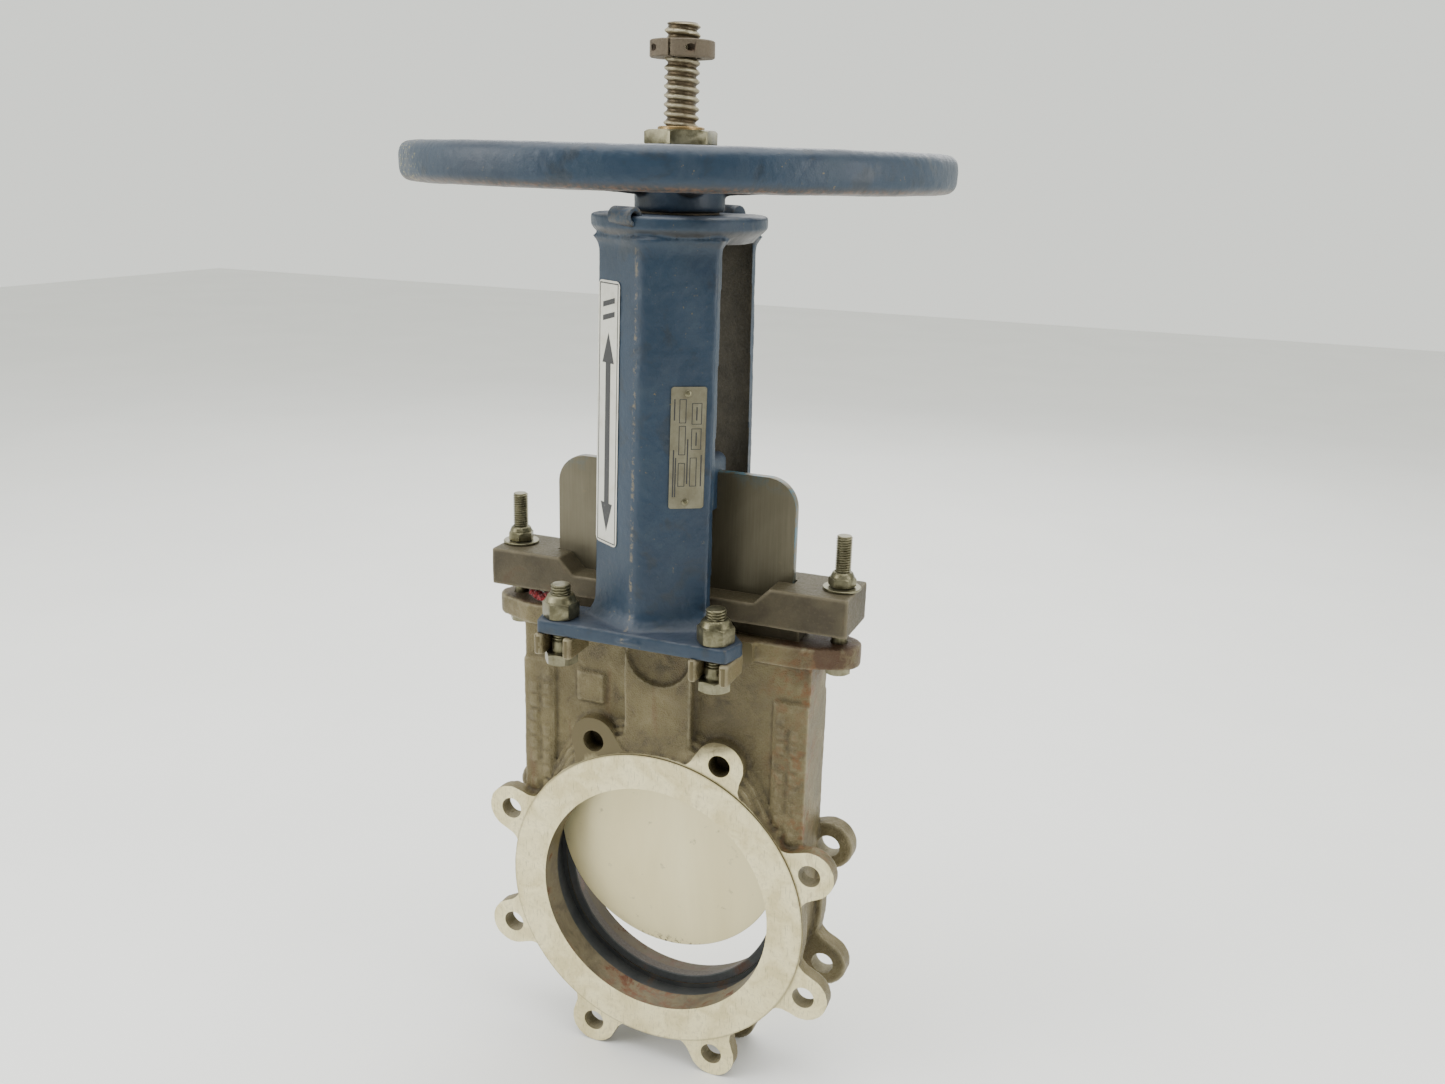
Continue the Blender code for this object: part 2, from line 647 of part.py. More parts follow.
def make_yoke():
    cove = [(0, CAP_TOP), (CAP_RADIUS - 1.5 * MM, CAP_TOP), (CAP_RADIUS, CAP_TOP - 1.5 * MM),
            (CAP_RADIUS, CAP_TOP - 9 * MM), (60 * MM, 555 * MM), (56 * MM, CAP_BOTTOM),
            (0, CAP_BOTTOM)]
    yoke = turned("cap", [(radius, above_bore(z)) for radius, z in cove], steps=48)
    for side in (-1, 1):
        union(yoke, yoke_leg(side), foot(side))
        union(yoke, cylinder("boss", GREASE_BOSS_RADIUS, at(side * 28 * MM, side * 53 * MM, GREASE_BOSS_Z),
                             at(side * 8 * MM, side * 60 * MM, GREASE_BOSS_Z), segments=20))
    cut(yoke, cylinder("bush hole", BUSH_RADIUS + GAP, at(0, 0, CAP_BOTTOM - MM),
                       at(0, 0, CAP_TOP + MM), segments=TURNED_SEGMENTS))
    cut(yoke, cylinder("nut recess", NUT_FLANGE_RADIUS + 1.5 * MM, at(0, 0, CAP_BOTTOM - MM),
                       at(0, 0, NUT_RECESS_TOP), segments=TURNED_SEGMENTS))
    for x, y in yoke_bolt_positions():
        cut(yoke, cylinder("bolt hole", YOKE_BOLT_HOLE_RADIUS, at(x, y, CHEST_TOP - MM),
                           at(x, y, FOOT_TOP + MM), segments=20))
    for side in (-1, 1):
        cut(yoke, cylinder("boss hole", GREASE_HOLE_RADIUS,
                           at(side * 24 * MM, side * 54.4 * MM, GREASE_BOSS_Z),
                           at(side * 5 * MM, side * 61.05 * MM, GREASE_BOSS_Z), segments=16))
    finish(yoke, "yoke", "blue_paint", 30)


def make_yoke_fasteners():
    """Bolts from under the arms, with heavy nuts that have a rounded crown."""
    head_top = CHEST_TOP - TOP_PLATE_THICKNESS - GAP
    nut_low = FOOT_TOP + GAP
    bolts, nuts = [], []
    for x, y in yoke_bolt_positions():
        bolt = hexagon("head", YOKE_BOLT_HEX, x, y, head_top - 9 * MM, head_top)
        union(bolt, cylinder("shank", YOKE_BOLT_RADIUS, at(x, y, head_top - MM),
                             at(x, y, YOKE_BOLT_TOP), segments=20))
        bolts.append(bolt)
        nut = hexagon("nut", YOKE_NUT_HEX, x, y, nut_low, nut_low + 13 * MM)
        union(nut, cylinder("crown", 13.0 * MM, at(x, y, nut_low + 12 * MM), at(x, y, nut_low + 19 * MM),
                            segments=24, end_radius=10.0 * MM))
        cut(nut, cylinder("thread", YOKE_BOLT_RADIUS + GAP, at(x, y, nut_low - MM),
                          at(x, y, nut_low + 20 * MM), segments=20))
        nuts.append(nut)
    finish_each(bolts, "yoke_bolt", "zinc_plate")
    finish_each(nuts, "yoke_nut", "zinc_plate")


# Stem nut, bearings and handwheel -------------------------------------------------------

def ring(name, outer, inner, low, high, segments=TURNED_SEGMENTS):
    """A plain washer or bush round the stem axis."""
    solid = cylinder(name, outer, at(0, 0, low), at(0, 0, high), segments=segments)
    return cut(solid, cylinder("hole", inner, at(0, 0, low - MM), at(0, 0, high + MM),
                               segments=segments))


def make_stem_nut():
    """The flanged nut that turns in the yoke; its flange sits in the cap's recess."""
    shoulder_low = 616.0 * MM
    profile = [(NUT_BORE_RADIUS, NUT_TOP), (NUT_NECK_RADIUS, NUT_TOP),
               (NUT_NECK_RADIUS, shoulder_low), (NUT_SHANK_RADIUS, shoulder_low),
               (NUT_SHANK_RADIUS, NUT_FLANGE_TOP), (NUT_FLANGE_RADIUS, NUT_FLANGE_TOP),
               (NUT_FLANGE_RADIUS, NUT_FLANGE_BOTTOM), (NUT_BORE_RADIUS, NUT_FLANGE_BOTTOM),
               (NUT_BORE_RADIUS, NUT_TOP)]
    nut = turned("nut", [(radius, above_bore(z)) for radius, z in profile])
    cut(nut, box("keyway", at(-KEY_HALF_WIDTH - GAP / 2, -NUT_SHANK_RADIUS - MM, KEY_BOTTOM - GAP),
                 at(KEY_HALF_WIDTH + GAP / 2, -NUT_SHANK_RADIUS + 2.5 * MM, 620 * MM)))
    finish(nut, "stem_nut", "bronze")


def make_bearings():
    washer_low = NUT_FLANGE_TOP + GAP
    lower = ring("lower", NUT_FLANGE_RADIUS, NUT_SHANK_RADIUS + 0.5 * MM, washer_low,
                 NUT_RECESS_TOP - GAP)
    finish(lower, "lower_thrust_washer", "bronze")
    bush = ring("bush", BUSH_RADIUS, NUT_SHANK_RADIUS + 0.4 * MM, NUT_RECESS_TOP, CAP_TOP)
    finish(bush, "yoke_bush", "bronze")
    upper = ring("upper", 30 * MM, NUT_SHANK_RADIUS + 0.5 * MM, CAP_TOP + GAP, HUB_BOTTOM - GAP)
    finish(upper, "upper_thrust_washer", "bronze")


def spoke(angle):
    """An arm between hub and rim: a flat oval that thins towards the rim."""
    start = Vector((HUB_RADIUS - 6 * MM, 0, above_bore(594 * MM)))
    end = Vector((WHEEL_RADIUS - RIM_WIDTH + 5 * MM, 0, above_bore(602 * MM)))
    arm_shape = cylinder("spoke", 10 * MM, start, end, segments=12, end_radius=8 * MM)
    for vertex in arm_shape.data.vertices:
        vertex.co.y *= 1.35
        vertex.co = Matrix.Rotation(angle, 3, "Z") @ vertex.co
    return arm_shape


def make_handwheel():
    inner = WHEEL_RADIUS - RIM_WIDTH
    middle_z = (RIM_BOTTOM + RIM_TOP) / 2
    half_height = (RIM_TOP - RIM_BOTTOM) / 2
    middle = WHEEL_RADIUS - RIM_WIDTH / 2
    profile = []
    points = 10
    for step in range(points + 1):
        angle = math.pi / 2 - 2 * math.pi * step / points
        squareness = 0.72
        across = math.copysign(abs(math.cos(angle)) ** squareness, math.cos(angle))
        up = math.copysign(abs(math.sin(angle)) ** squareness, math.sin(angle))
        profile.append((middle + RIM_WIDTH / 2 * across, above_bore(middle_z + half_height * up)))
    profile[-1] = profile[0]
    wheel = turned("rim", profile, steps=60)
    hub = [(0, HUB_TOP), (HUB_RADIUS - 5 * MM, HUB_TOP), (HUB_RADIUS - 2 * MM, HUB_TOP - 3 * MM),
           (HUB_RADIUS, HUB_BOTTOM + 1.5 * MM), (HUB_RADIUS - 1.5 * MM, HUB_BOTTOM), (0, HUB_BOTTOM)]
    hub = turned("hub", [(radius, above_bore(z)) for radius, z in hub])
    for index in range(SPOKE_COUNT):
        union(hub, spoke(math.pi / 2 + 2 * math.pi * index / SPOKE_COUNT))
    union(wheel, hub)
    cut(wheel, cylinder("hub bore", NUT_SHANK_RADIUS + GAP, at(0, 0, HUB_BOTTOM - MM),
                        at(0, 0, HUB_TOP + MM), segments=TURNED_SEGMENTS))
    cut(wheel, box("keyway", at(-KEY_HALF_WIDTH - GAP, -NUT_SHANK_RADIUS - 3.3 * MM, HUB_BOTTOM - MM),
                   at(KEY_HALF_WIDTH + GAP, 0, HUB_TOP + MM)))
    finish(wheel, "handwheel", "blue_paint", 40)


def make_wheel_fasteners():
    key = box("key", at(-KEY_HALF_WIDTH, -NUT_SHANK_RADIUS - 3 * MM, KEY_BOTTOM),
              at(KEY_HALF_WIDTH, -NUT_SHANK_RADIUS + 2.5 * MM - GAP, 615.5 * MM))
    finish(key, "wheel_key", "stem_steel")
    low = HUB_TOP + GAP
    nut = hexagon("wheel nut", WHEEL_NUT_HEX, 0, 0, low, WHEEL_NUT_TOP)
    cut(nut, cylinder("thread", NUT_NECK_RADIUS + GAP, at(0, 0, low - MM),
                      at(0, 0, WHEEL_NUT_TOP + MM), segments=48))
    finish(nut, "wheel_nut", "zinc_plate")


# Stem, collar and clevis ----------------------------------------------------------------

def make_stem():
    profile = [(0, STEM_TOP), (STEM_RADIUS - 1.5 * MM, STEM_TOP),
               (STEM_RADIUS, STEM_TOP - 1.5 * MM), (STEM_RADIUS, STEM_BOTTOM), (0, STEM_BOTTOM)]
    stem = turned("stem", [(radius, above_bore(z)) for radius, z in profile], steps=24)
    finish(stem, "stem", "stem_steel")


def make_collar():
    """A clamp collar, split at the front and drawn tight by a screw across the split."""
    collar = ring("collar", COLLAR_RADIUS, STEM_RADIUS + GAP, COLLAR_BOTTOM, COLLAR_TOP)
    cut(collar, box("split", at(-COLLAR_SPLIT_HALF_WIDTH, -COLLAR_RADIUS - MM, COLLAR_BOTTOM - MM),
                    at(COLLAR_SPLIT_HALF_WIDTH, 0, COLLAR_TOP + MM)))
    middle = (COLLAR_BOTTOM + COLLAR_TOP) / 2
    cut(collar, cylinder("screw hole", COLLAR_SCREW_RADIUS + GAP,
                         at(-17 * MM, COLLAR_SCREW_Y, middle),
                         at(17 * MM, COLLAR_SCREW_Y, middle), segments=16))
    finish(collar, "stop_collar", "rusty_steel")
    screw = cylinder("screw", COLLAR_SCREW_RADIUS, at(-11.5 * MM, COLLAR_SCREW_Y, middle),
                     at(11.5 * MM, COLLAR_SCREW_Y, middle), segments=16)
    finish(screw, "collar_screw", "stem_steel")


def make_clevis():
    """The block that straddles the gate's top edge and carries the stem."""
    corner = 7.0 * MM
    outline = [(-CLEVIS_HALF_WIDTH, CLEVIS_BOTTOM), (CLEVIS_HALF_WIDTH, CLEVIS_BOTTOM)]
    outline += arc((CLEVIS_HALF_WIDTH - corner, CLEVIS_TOP - corner), corner, 0, 90, 5)
    outline += arc((-CLEVIS_HALF_WIDTH + corner, CLEVIS_TOP - corner), corner, 90, 180, 5)
    clevis = upright_plate("clevis", outline, -CLEVIS_HALF_DEPTH, CLEVIS_HALF_DEPTH)
    boss = cylinder("boss", 20 * MM, at(0, 0, 376.5 * MM), at(0, 0, CLEVIS_TOP), segments=32)
    union(clevis, boss)
    cut(clevis, box("gate gap", at(-0.06, -GATE_THICKNESS / 2 - GAP, CLEVIS_BOTTOM - MM),
                    at(0.06, GATE_THICKNESS / 2 + GAP, GATE_TOP + GAP)))
    cut(clevis, cylinder("stem hole", STEM_RADIUS + GAP, at(0, 0, STEM_BOTTOM - GAP),
                         at(0, 0, CLEVIS_TOP + MM), segments=24))
    for x in CLEVIS_BOLT_X:
        cut(clevis, cylinder("bolt hole", CLEVIS_BOLT_RADIUS + GAP, at(x, -0.03, CLEVIS_BOLT_Z),
                             at(x, 0.03, CLEVIS_BOLT_Z), segments=16))
    finish(clevis, "stem_clevis", "blue_paint")


def make_clevis_fasteners():
    bolts, nuts = [], []
    face = CLEVIS_HALF_DEPTH + GAP
    for x in CLEVIS_BOLT_X:
        corner = CLEVIS_HEX / math.sqrt(3)
        bolt = cylinder("head", corner, at(x, -face - 6.5 * MM, CLEVIS_BOLT_Z),
                        at(x, -face, CLEVIS_BOLT_Z), segments=6)
        union(bolt, cylinder("shank", CLEVIS_BOLT_RADIUS, at(x, -face - MM, CLEVIS_BOLT_Z),
                             at(x, face + 8 * MM, CLEVIS_BOLT_Z), segments=16))
        bolts.append(bolt)
        nut = cylinder("nut", corner, at(x, face, CLEVIS_BOLT_Z),
                       at(x, face + 7 * MM, CLEVIS_BOLT_Z), segments=6)
        cut(nut, cylinder("thread", CLEVIS_BOLT_RADIUS + GAP, at(x, face - MM, CLEVIS_BOLT_Z),
                          at(x, face + 9 * MM, CLEVIS_BOLT_Z), segments=16))
        nuts.append(nut)
    finish_each(bolts, "clevis_bolt", "stem_steel")
    finish_each(nuts, "clevis_nut", "stem_steel")


# Plates on the front leg ----------------------------------------------------------------

def on_front_leg(name, x_range, z_range, thickness):
    """A thin plate that follows the front leg's outer skin at a small distance."""
    steps = 6
    low, high = x_range
    across = [low + (high - low) * step / steps for step in range(steps + 1)]
    outline = [(x, -leg_skin(x) - GAP) for x in across]
    outline += [(x, -leg_skin(x) - GAP - thickness) for x in reversed(across)]
    outline.reverse()
    top = above_bore(LEG_TOP)
    skin = plate(name, outline, above_bore(z_range[0]), above_bore(z_range[1]))
    for vertex in skin.data.vertices:
        vertex.co.y -= (top - vertex.co.z) * LEG_SPLAY
    return skin


def make_plates():
    nameplate = on_front_leg("plate", NAMEPLATE_X, NAMEPLATE_Z, 0.8 * MM)
    middle_x = sum(NAMEPLATE_X) / 2
    lean = math.atan((LEG_RIDGE_Y - LEG_EDGE_Y) / (LEG_HALF_WIDTH - LEG_RIDGE_ROUND / 2))
    out = Vector((math.sin(lean), -math.cos(lean), 0))
    pins = []
    for height in NAMEPLATE_PIN_Z:
        splay = (LEG_TOP - height) * LEG_SPLAY
        foot_point = Vector(at(middle_x, -leg_skin(middle_x) - splay, height))
        start = foot_point + out * 1.6 * MM
        pins.append(cylinder("pin", 2.6 * MM, start, start + out * 1.2 * MM, segments=16,
                             end_radius=1.6 * MM))
    finish(nameplate, "nameplate", "nameplate_metal")
    finish_each(pins, "nameplate_pin", "zinc_plate")
    label = on_front_leg("label", LABEL_X, LABEL_Z, 0.4 * MM)
    finish(label, "label", "label_vinyl")


make_body()
make_seat_ring()
make_gate()
make_packing()
make_gland()
make_gland_fasteners()
make_yoke()
make_yoke_fasteners()
make_stem_nut()
make_bearings()
make_handwheel()
make_wheel_fasteners()
make_stem()
make_collar()
make_clevis()
make_clevis_fasteners()
make_plates()
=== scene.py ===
"""Looks of the knife gate valve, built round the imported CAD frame.

Metres, +Z up. Heights in this file are given above the bore's centre, in millimetres times MM.
"""
import json
import math

import bmesh
import bpy
from mathutils import Matrix, Vector, noise


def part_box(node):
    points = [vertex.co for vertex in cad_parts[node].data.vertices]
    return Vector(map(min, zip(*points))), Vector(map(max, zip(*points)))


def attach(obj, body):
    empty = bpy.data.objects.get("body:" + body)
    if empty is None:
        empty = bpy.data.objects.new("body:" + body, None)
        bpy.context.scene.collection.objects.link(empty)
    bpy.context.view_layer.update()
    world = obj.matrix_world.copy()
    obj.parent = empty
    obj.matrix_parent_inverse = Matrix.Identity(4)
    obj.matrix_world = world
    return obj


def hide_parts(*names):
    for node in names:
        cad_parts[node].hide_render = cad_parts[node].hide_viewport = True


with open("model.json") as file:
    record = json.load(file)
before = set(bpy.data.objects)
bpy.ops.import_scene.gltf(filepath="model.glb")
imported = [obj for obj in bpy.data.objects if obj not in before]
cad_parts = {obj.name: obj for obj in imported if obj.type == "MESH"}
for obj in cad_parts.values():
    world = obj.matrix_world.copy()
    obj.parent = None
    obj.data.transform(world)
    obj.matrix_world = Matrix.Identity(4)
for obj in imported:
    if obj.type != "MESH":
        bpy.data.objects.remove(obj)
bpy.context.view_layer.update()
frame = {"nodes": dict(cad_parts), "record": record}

MM = 0.001
Z_TO_Y = Matrix.Rotation(-math.pi / 2, 4, "X")
BODY = "valve_body"
WHEEL = "wheel"
LIFT = "gate_lift"

# Places and sizes read from the frame
BORE_Z = frame["record"]["mounts"][0]["pos_m"][2] - 119 * MM
FACE_Y = -frame["record"]["mounts"][0]["pos_m"][1]


def height(node, top=True):
    """A node's upper or lower end, above the bore's centre."""
    low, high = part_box(node)
    return (high.z if top else low.z) - BORE_Z


def middle(node):
    low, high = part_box(node)
    return (low + high) / 2


# Driving dimensions; the pocket round the gate is on this script's casting only
BOLT_CIRCLE_RADIUS = 149.2 * MM
LUG_COUNT = 8
LUG_RADIUS = 21.0 * MM
LUG_HOLE_RADIUS = 9.5 * MM
BORE_RADIUS = 104.0 * MM
POCKET_RADIUS = 108.5 * MM
POCKET_FRONT = -13.0 * MM
RAISED_FACE_RADIUS = 134.6 * MM
RAISED_FACE_HEIGHT = 1.6 * MM
FLANGE_THICKNESS = 14.0 * MM
SEAT_FRONT = 4.9 * MM
SEAT_BACK = 16.9 * MM
SEAT_RADIUS = 96.0 * MM
SEAT_BACK_RADIUS = 98.8 * MM
CHEST_HALF_WIDTH = 128.0 * MM
CHEST_HALF_DEPTH = 21.5 * MM
CHEST_TOP = 249.0 * MM
TOP_PLATE_THICKNESS = 17.5 * MM
GLAND_STUD_X = 142.5 * MM
ARM_X = 66.0 * MM
ARM_HALF_WIDTH = 16.5 * MM
YOKE_BOLT_Y = 70.5 * MM
YOKE_SLOT_HALF_WIDTH = 8.8 * MM
LEG_HALF_WIDTH = 48.0 * MM
LEG_EDGE_Y = 39.0 * MM
LEG_RIDGE_Y = 65.0 * MM
LEG_RIDGE_ROUND = 8.0 * MM
LEG_WALL = 8.5 * MM
LEG_SPLAY = 8.0 / 290.0
LEG_TOP = 554.0 * MM
STEM_PITCH = 6.35 * MM
RIM_LOW = 589.3 * MM
RIM_HIGH = 617.6 * MM
RIM_MIDDLE_RADIUS = 190.0 * MM
SPOKE_COUNT = 5
SPOKE_START = 27.0
SPOKE_END = 182.0

CAMERA_PLACE = Vector((0.3977, -0.9115, 0.6072 + BORE_Z))
CAMERA_YAW = 21.324
CAMERA_PITCH = -16.504
CAMERA_ROLL = -1.571
CAMERA_LENS = 31.82


# Camera, light and floor ----------------------------------------------------------------

def make_camera():
    """Three-quarter view from the front right, at the wheel's height and tilted down."""
    camera = bpy.data.objects.new("camera", bpy.data.cameras.new("camera"))
    bpy.context.scene.collection.objects.link(camera)
    turn = (Matrix.Rotation(math.radians(CAMERA_YAW), 4, "Z")
            @ Matrix.Rotation(math.radians(CAMERA_PITCH), 4, "X")
            @ Matrix.Rotation(math.radians(CAMERA_ROLL), 4, "Y")
            @ Matrix.Rotation(math.radians(90), 4, "X"))
    camera.matrix_world = Matrix.Translation(CAMERA_PLACE) @ turn
    camera.data.sensor_width = 36.0
    camera.data.lens = CAMERA_LENS
    camera.data.clip_start = 0.01
    bpy.context.scene.camera = camera


def make_light(name, position, target, size, power):
    data = bpy.data.lights.new(name, "AREA")
    data.shape = "RECTANGLE"
    data.size = size[0]
    data.size_y = size[1]
    data.energy = power
    light = bpy.data.objects.new(name, data)
    bpy.context.scene.collection.objects.link(light)
    light.location = position
    aim = Vector(target) - Vector(position)
    light.rotation_euler = aim.to_track_quat("-Z", "Y").to_euler()


def make_studio():
    make_light("overhead", (0.0, -0.2, 2.6), (0, 0, 0.4), (2.6, 2.6), 62)
    make_light("front_left", (-2.0, -1.5, 1.5), (0, 0, 0.4), (1.6, 1.8), 46)
    make_light("right", (2.2, -0.2, 1.0), (0, 0, 0.3), (1.2, 1.4), 22)
    make_light("back", (-0.4, 2.2, 1.8), (0, 0, 0.4), (2.4, 1.6), 30)
    world = bpy.data.worlds.new("studio")
    world.use_nodes = True
    tree = world.node_tree
    background = tree.nodes["Background"]
    background.inputs["Color"].default_value = (0.86, 0.88, 0.82, 1)
    direction = tree.nodes.new("ShaderNodeTexCoord").outputs["Generated"]
    toward_room = tree.nodes.new("ShaderNodeVectorMath")
    toward_room.operation = "DOT_PRODUCT"
    toward_room.inputs[1].default_value = (0.45, -0.88, 0.1)
    tree.links.new(direction, toward_room.inputs[0])
    dim = tree.nodes.new("ShaderNodeMapRange")
    for name, value in (("From Min", 0.15), ("From Max", 0.85), ("To Min", 1.35), ("To Max", 0.35)):
        dim.inputs[name].default_value = value
    tree.links.new(toward_room.outputs["Value"], dim.inputs["Value"])
    tree.links.new(dim.outputs["Result"], background.inputs["Strength"])
    bpy.context.scene.world = world


def make_floor():
    bm = bmesh.new()
    bmesh.ops.create_grid(bm, x_segments=1, y_segments=1, size=6)
    floor = link("floor", bm)
    floor.data.materials.append(paint_material("floor_paint", (0.93, 0.93, 0.91), 0.6))


# Node helpers ---------------------------------------------------------------------------

class Nodes:
    """A short way to write a material's node tree."""

    def __init__(self, name):
        self.material = bpy.data.materials.new(name)
        self.material.use_nodes = True
        self.tree = self.material.node_tree
        self.shader = self.tree.nodes["Principled BSDF"]
        self.place = self.tree.nodes.new("ShaderNodeTexCoord").outputs["Object"]
        self.color = None

    def new(self, kind, inputs=None, **values):
        """A node with settings by name, and its inputs connected or set."""
        node = self.tree.nodes.new(kind)
        for key, value in values.items():
            setattr(node, key, value)
        for key, source in (inputs or {}).items():
            self.plug(source, node.inputs[key])
        return node

    def plug(self, source, socket):
        """Connect an output, or set a constant."""
        if isinstance(source, bpy.types.NodeSocket):
            self.tree.links.new(source, socket)
        else:
            socket.default_value = source
        return socket

    def scaled(self, scale):
        node = self.new("ShaderNodeMapping", {"Vector": self.place, "Scale": scale})
        return node.outputs["Vector"]

    def noise(self, scale, detail=4.0, rough=0.55, vector=None, distortion=0.0):
        node = self.new("ShaderNodeTexNoise",
                        {"Vector": vector or self.place, "Scale": scale, "Detail": detail,
                         "Roughness": rough, "Distortion": distortion})
        return node.outputs["Fac"]

    def voronoi(self, scale):
        node = self.new("ShaderNodeTexVoronoi", {"Vector": self.place, "Scale": scale})
        return node.outputs["Distance"]

    def ramp(self, source, low, high, start=0.0, end=1.0):
        """Map low..high to start..end, clamped."""
        node = self.new("ShaderNodeMapRange", {"Value": source, "From Min": low, "From Max": high,
                                               "To Min": start, "To Max": end})
        return node.outputs["Result"]

    def math(self, operation, first, second=0.0):
        node = self.new("ShaderNodeMath", {0: first, 1: second}, operation=operation)
        return node.outputs["Value"]

    def times(self, first, second):
        return self.math("MULTIPLY", first, second)

    def hypot(self, first, second):
        squares = self.math("ADD", self.times(first, first), self.times(second, second))
        return self.math("SQRT", squares)

    def axis(self, name, vector=None):
        node = self.new("ShaderNodeSeparateXYZ", {"Vector": vector or self.place})
        return node.outputs[name]

    def spot(self, x, y, z, inner, outer):
        """One near a point given above the bore's centre in millimetres, falling to zero."""
        node = self.new("ShaderNodeVectorMath",
                        {0: self.place, 1: (x * MM, y * MM, BORE_Z + z * MM)}, operation="DISTANCE")
        return self.ramp(node.outputs["Value"], inner * MM, outer * MM, 1.0, 0.0)

    def normal(self, name):
        geometry = self.new("ShaderNodeNewGeometry")
        return self.axis(name, geometry.outputs["Normal"])

    def edges(self, low=0.50, high=0.56):
        """Convex edges of a dense mesh."""
        geometry = self.new("ShaderNodeNewGeometry")
        return self.ramp(geometry.outputs["Pointiness"], low, high)

    def mix(self, factor, first, second):
        node = self.new("ShaderNodeMix", {"Factor": factor}, data_type="RGBA")
        colors = [socket for socket in node.inputs if socket.type == "RGBA"]
        self.plug(opaque(first), colors[0])
        self.plug(opaque(second), colors[1])
        return [socket for socket in node.outputs if socket.type == "RGBA"][0]

    def lay(self, mask, color, share=1.0):
        """Lay a colour over the base colour so far, where the mask is one."""
        if share < 1.0:
            mask = self.times(mask, share)
        self.color = self.mix(mask, self.color, color)

    def bump(self, source, distance, strength=1.0, normal=None):
        node = self.new("ShaderNodeBump",
                        {"Height": source, "Distance": distance, "Strength": strength})
        if normal:
            self.plug(normal, node.inputs["Normal"])
        return node.outputs["Normal"]

    def finish(self, roughness, metallic=0.0, normal=None, **constants):
        self.plug(opaque(self.color), self.shader.inputs["Base Color"])
        self.plug(roughness, self.shader.inputs["Roughness"])
        self.plug(metallic, self.shader.inputs["Metallic"])
        if normal:
            self.plug(normal, self.shader.inputs["Normal"])
        for key, value in constants.items():
            self.shader.inputs[key.replace("_", " ")].default_value = value
        return self.material


def opaque(color):
    if isinstance(color, tuple) and len(color) == 3:
        return (*color, 1.0)
    return color


# Materials ------------------------------------------------------------------------------

def paint_material(name, color, roughness):
    """A plain paint with a faint mottle."""
    n = Nodes(name)
    mottle = n.noise(3.0)
    n.color = n.mix(n.ramp(mottle, 0.35, 0.65), color, tuple(c * 0.97 for c in color))
    return n.finish(roughness)


def cast_stainless():
    """Sand-cast stainless steel: khaki brown, grainy, with rust runs, and painted shade in concave
    places and in the recesses under the top plate.
    """
    n = Nodes("cast_stainless")
    broad = n.noise(14.0, 5.0, 0.6)
    patches = n.noise(55.0, 5.0, 0.62, distortion=0.4)
    grain = n.noise(900.0, 3.0, 0.6)
    n.color = n.mix(n.ramp(broad, 0.36, 0.64), (0.082, 0.064, 0.025), (0.152, 0.122, 0.052))
    n.lay(n.ramp(patches, 0.50, 0.72, 0.0, 0.8), (0.205, 0.168, 0.088))
    n.lay(n.ramp(patches, 0.44, 0.30, 0.0, 0.75), (0.048, 0.035, 0.016))
    streaks = n.noise(60.0, 4.0, 0.6, n.scaled((1.0, 1.0, 0.22)))
    rust = n.times(n.ramp(streaks, 0.58, 0.68), n.ramp(broad, 0.42, 0.58))
    n.lay(rust, (0.095, 0.036, 0.012), 0.5)
    up = n.ramp(n.normal("Z"), 0.4, 0.9)
    high = n.ramp(n.axis("Z"), BORE_Z + CHEST_TOP - 12 * MM, BORE_Z + CHEST_TOP - 3 * MM)
    dust = n.times(n.times(up, high), n.ramp(patches, 0.36, 0.60, 0.3, 0.95))
    n.lay(dust, (0.052, 0.022, 0.012))
    n.lay(n.ramp(grain, 0.40, 0.66, 0.0, 0.35), (0.25, 0.21, 0.125))
    n.lay(n.edges(0.512, 0.56), (0.27, 0.235, 0.145))
    # painted shade in concave places: darker where the pointiness is low
    hollow_shade = n.ramp(n.new("ShaderNodeNewGeometry").outputs["Pointiness"], 0.492, 0.465)
    n.lay(hollow_shade, (0.040, 0.030, 0.014), 0.75)
    stains = n.spot(125, -28, 215, 8, 46)
    for spot in ((127, -26, 150, 4, 40), (128, -24, 88, 4, 34), (140, -26, 76, 2, 22),
                 (-26, 30, 236, 4, 40)):
        stains = n.math("MAXIMUM", stains, n.spot(*spot))
    orange = n.times(stains, n.ramp(n.noise(120.0, 5.0, 0.65), 0.48, 0.64))
    n.lay(orange, (0.17, 0.058, 0.016), 0.75)
    brown = n.times(n.spot(140, -12, 246, 14, 42), n.ramp(patches, 0.36, 0.50))
    n.lay(brown, (0.060, 0.026, 0.012), 0.85)
    # painted shade in the recess between the central boss and the right strip, and in the
    # half-round scoop at the boss's top, both under the top plate
    recess_shade = n.math("MAXIMUM", n.spot(55, -24, 200, 10, 55), n.spot(0, -32, 222, 12, 34))
    recess_shade = n.times(recess_shade, n.ramp(patches, 0.36, 0.56))
    n.lay(recess_shade, (0.038, 0.028, 0.014), 0.8)
    rough = n.ramp(grain, 0.3, 0.7, 0.38, 0.62)
    sand = n.voronoi(750.0)
    normal = n.bump(grain, 0.0008, 0.9)
    normal = n.bump(sand, 0.0006, 0.6, normal)
    normal = n.bump(patches, 0.0014, 0.6, normal)
    return n.finish(rough, 0.35, normal)


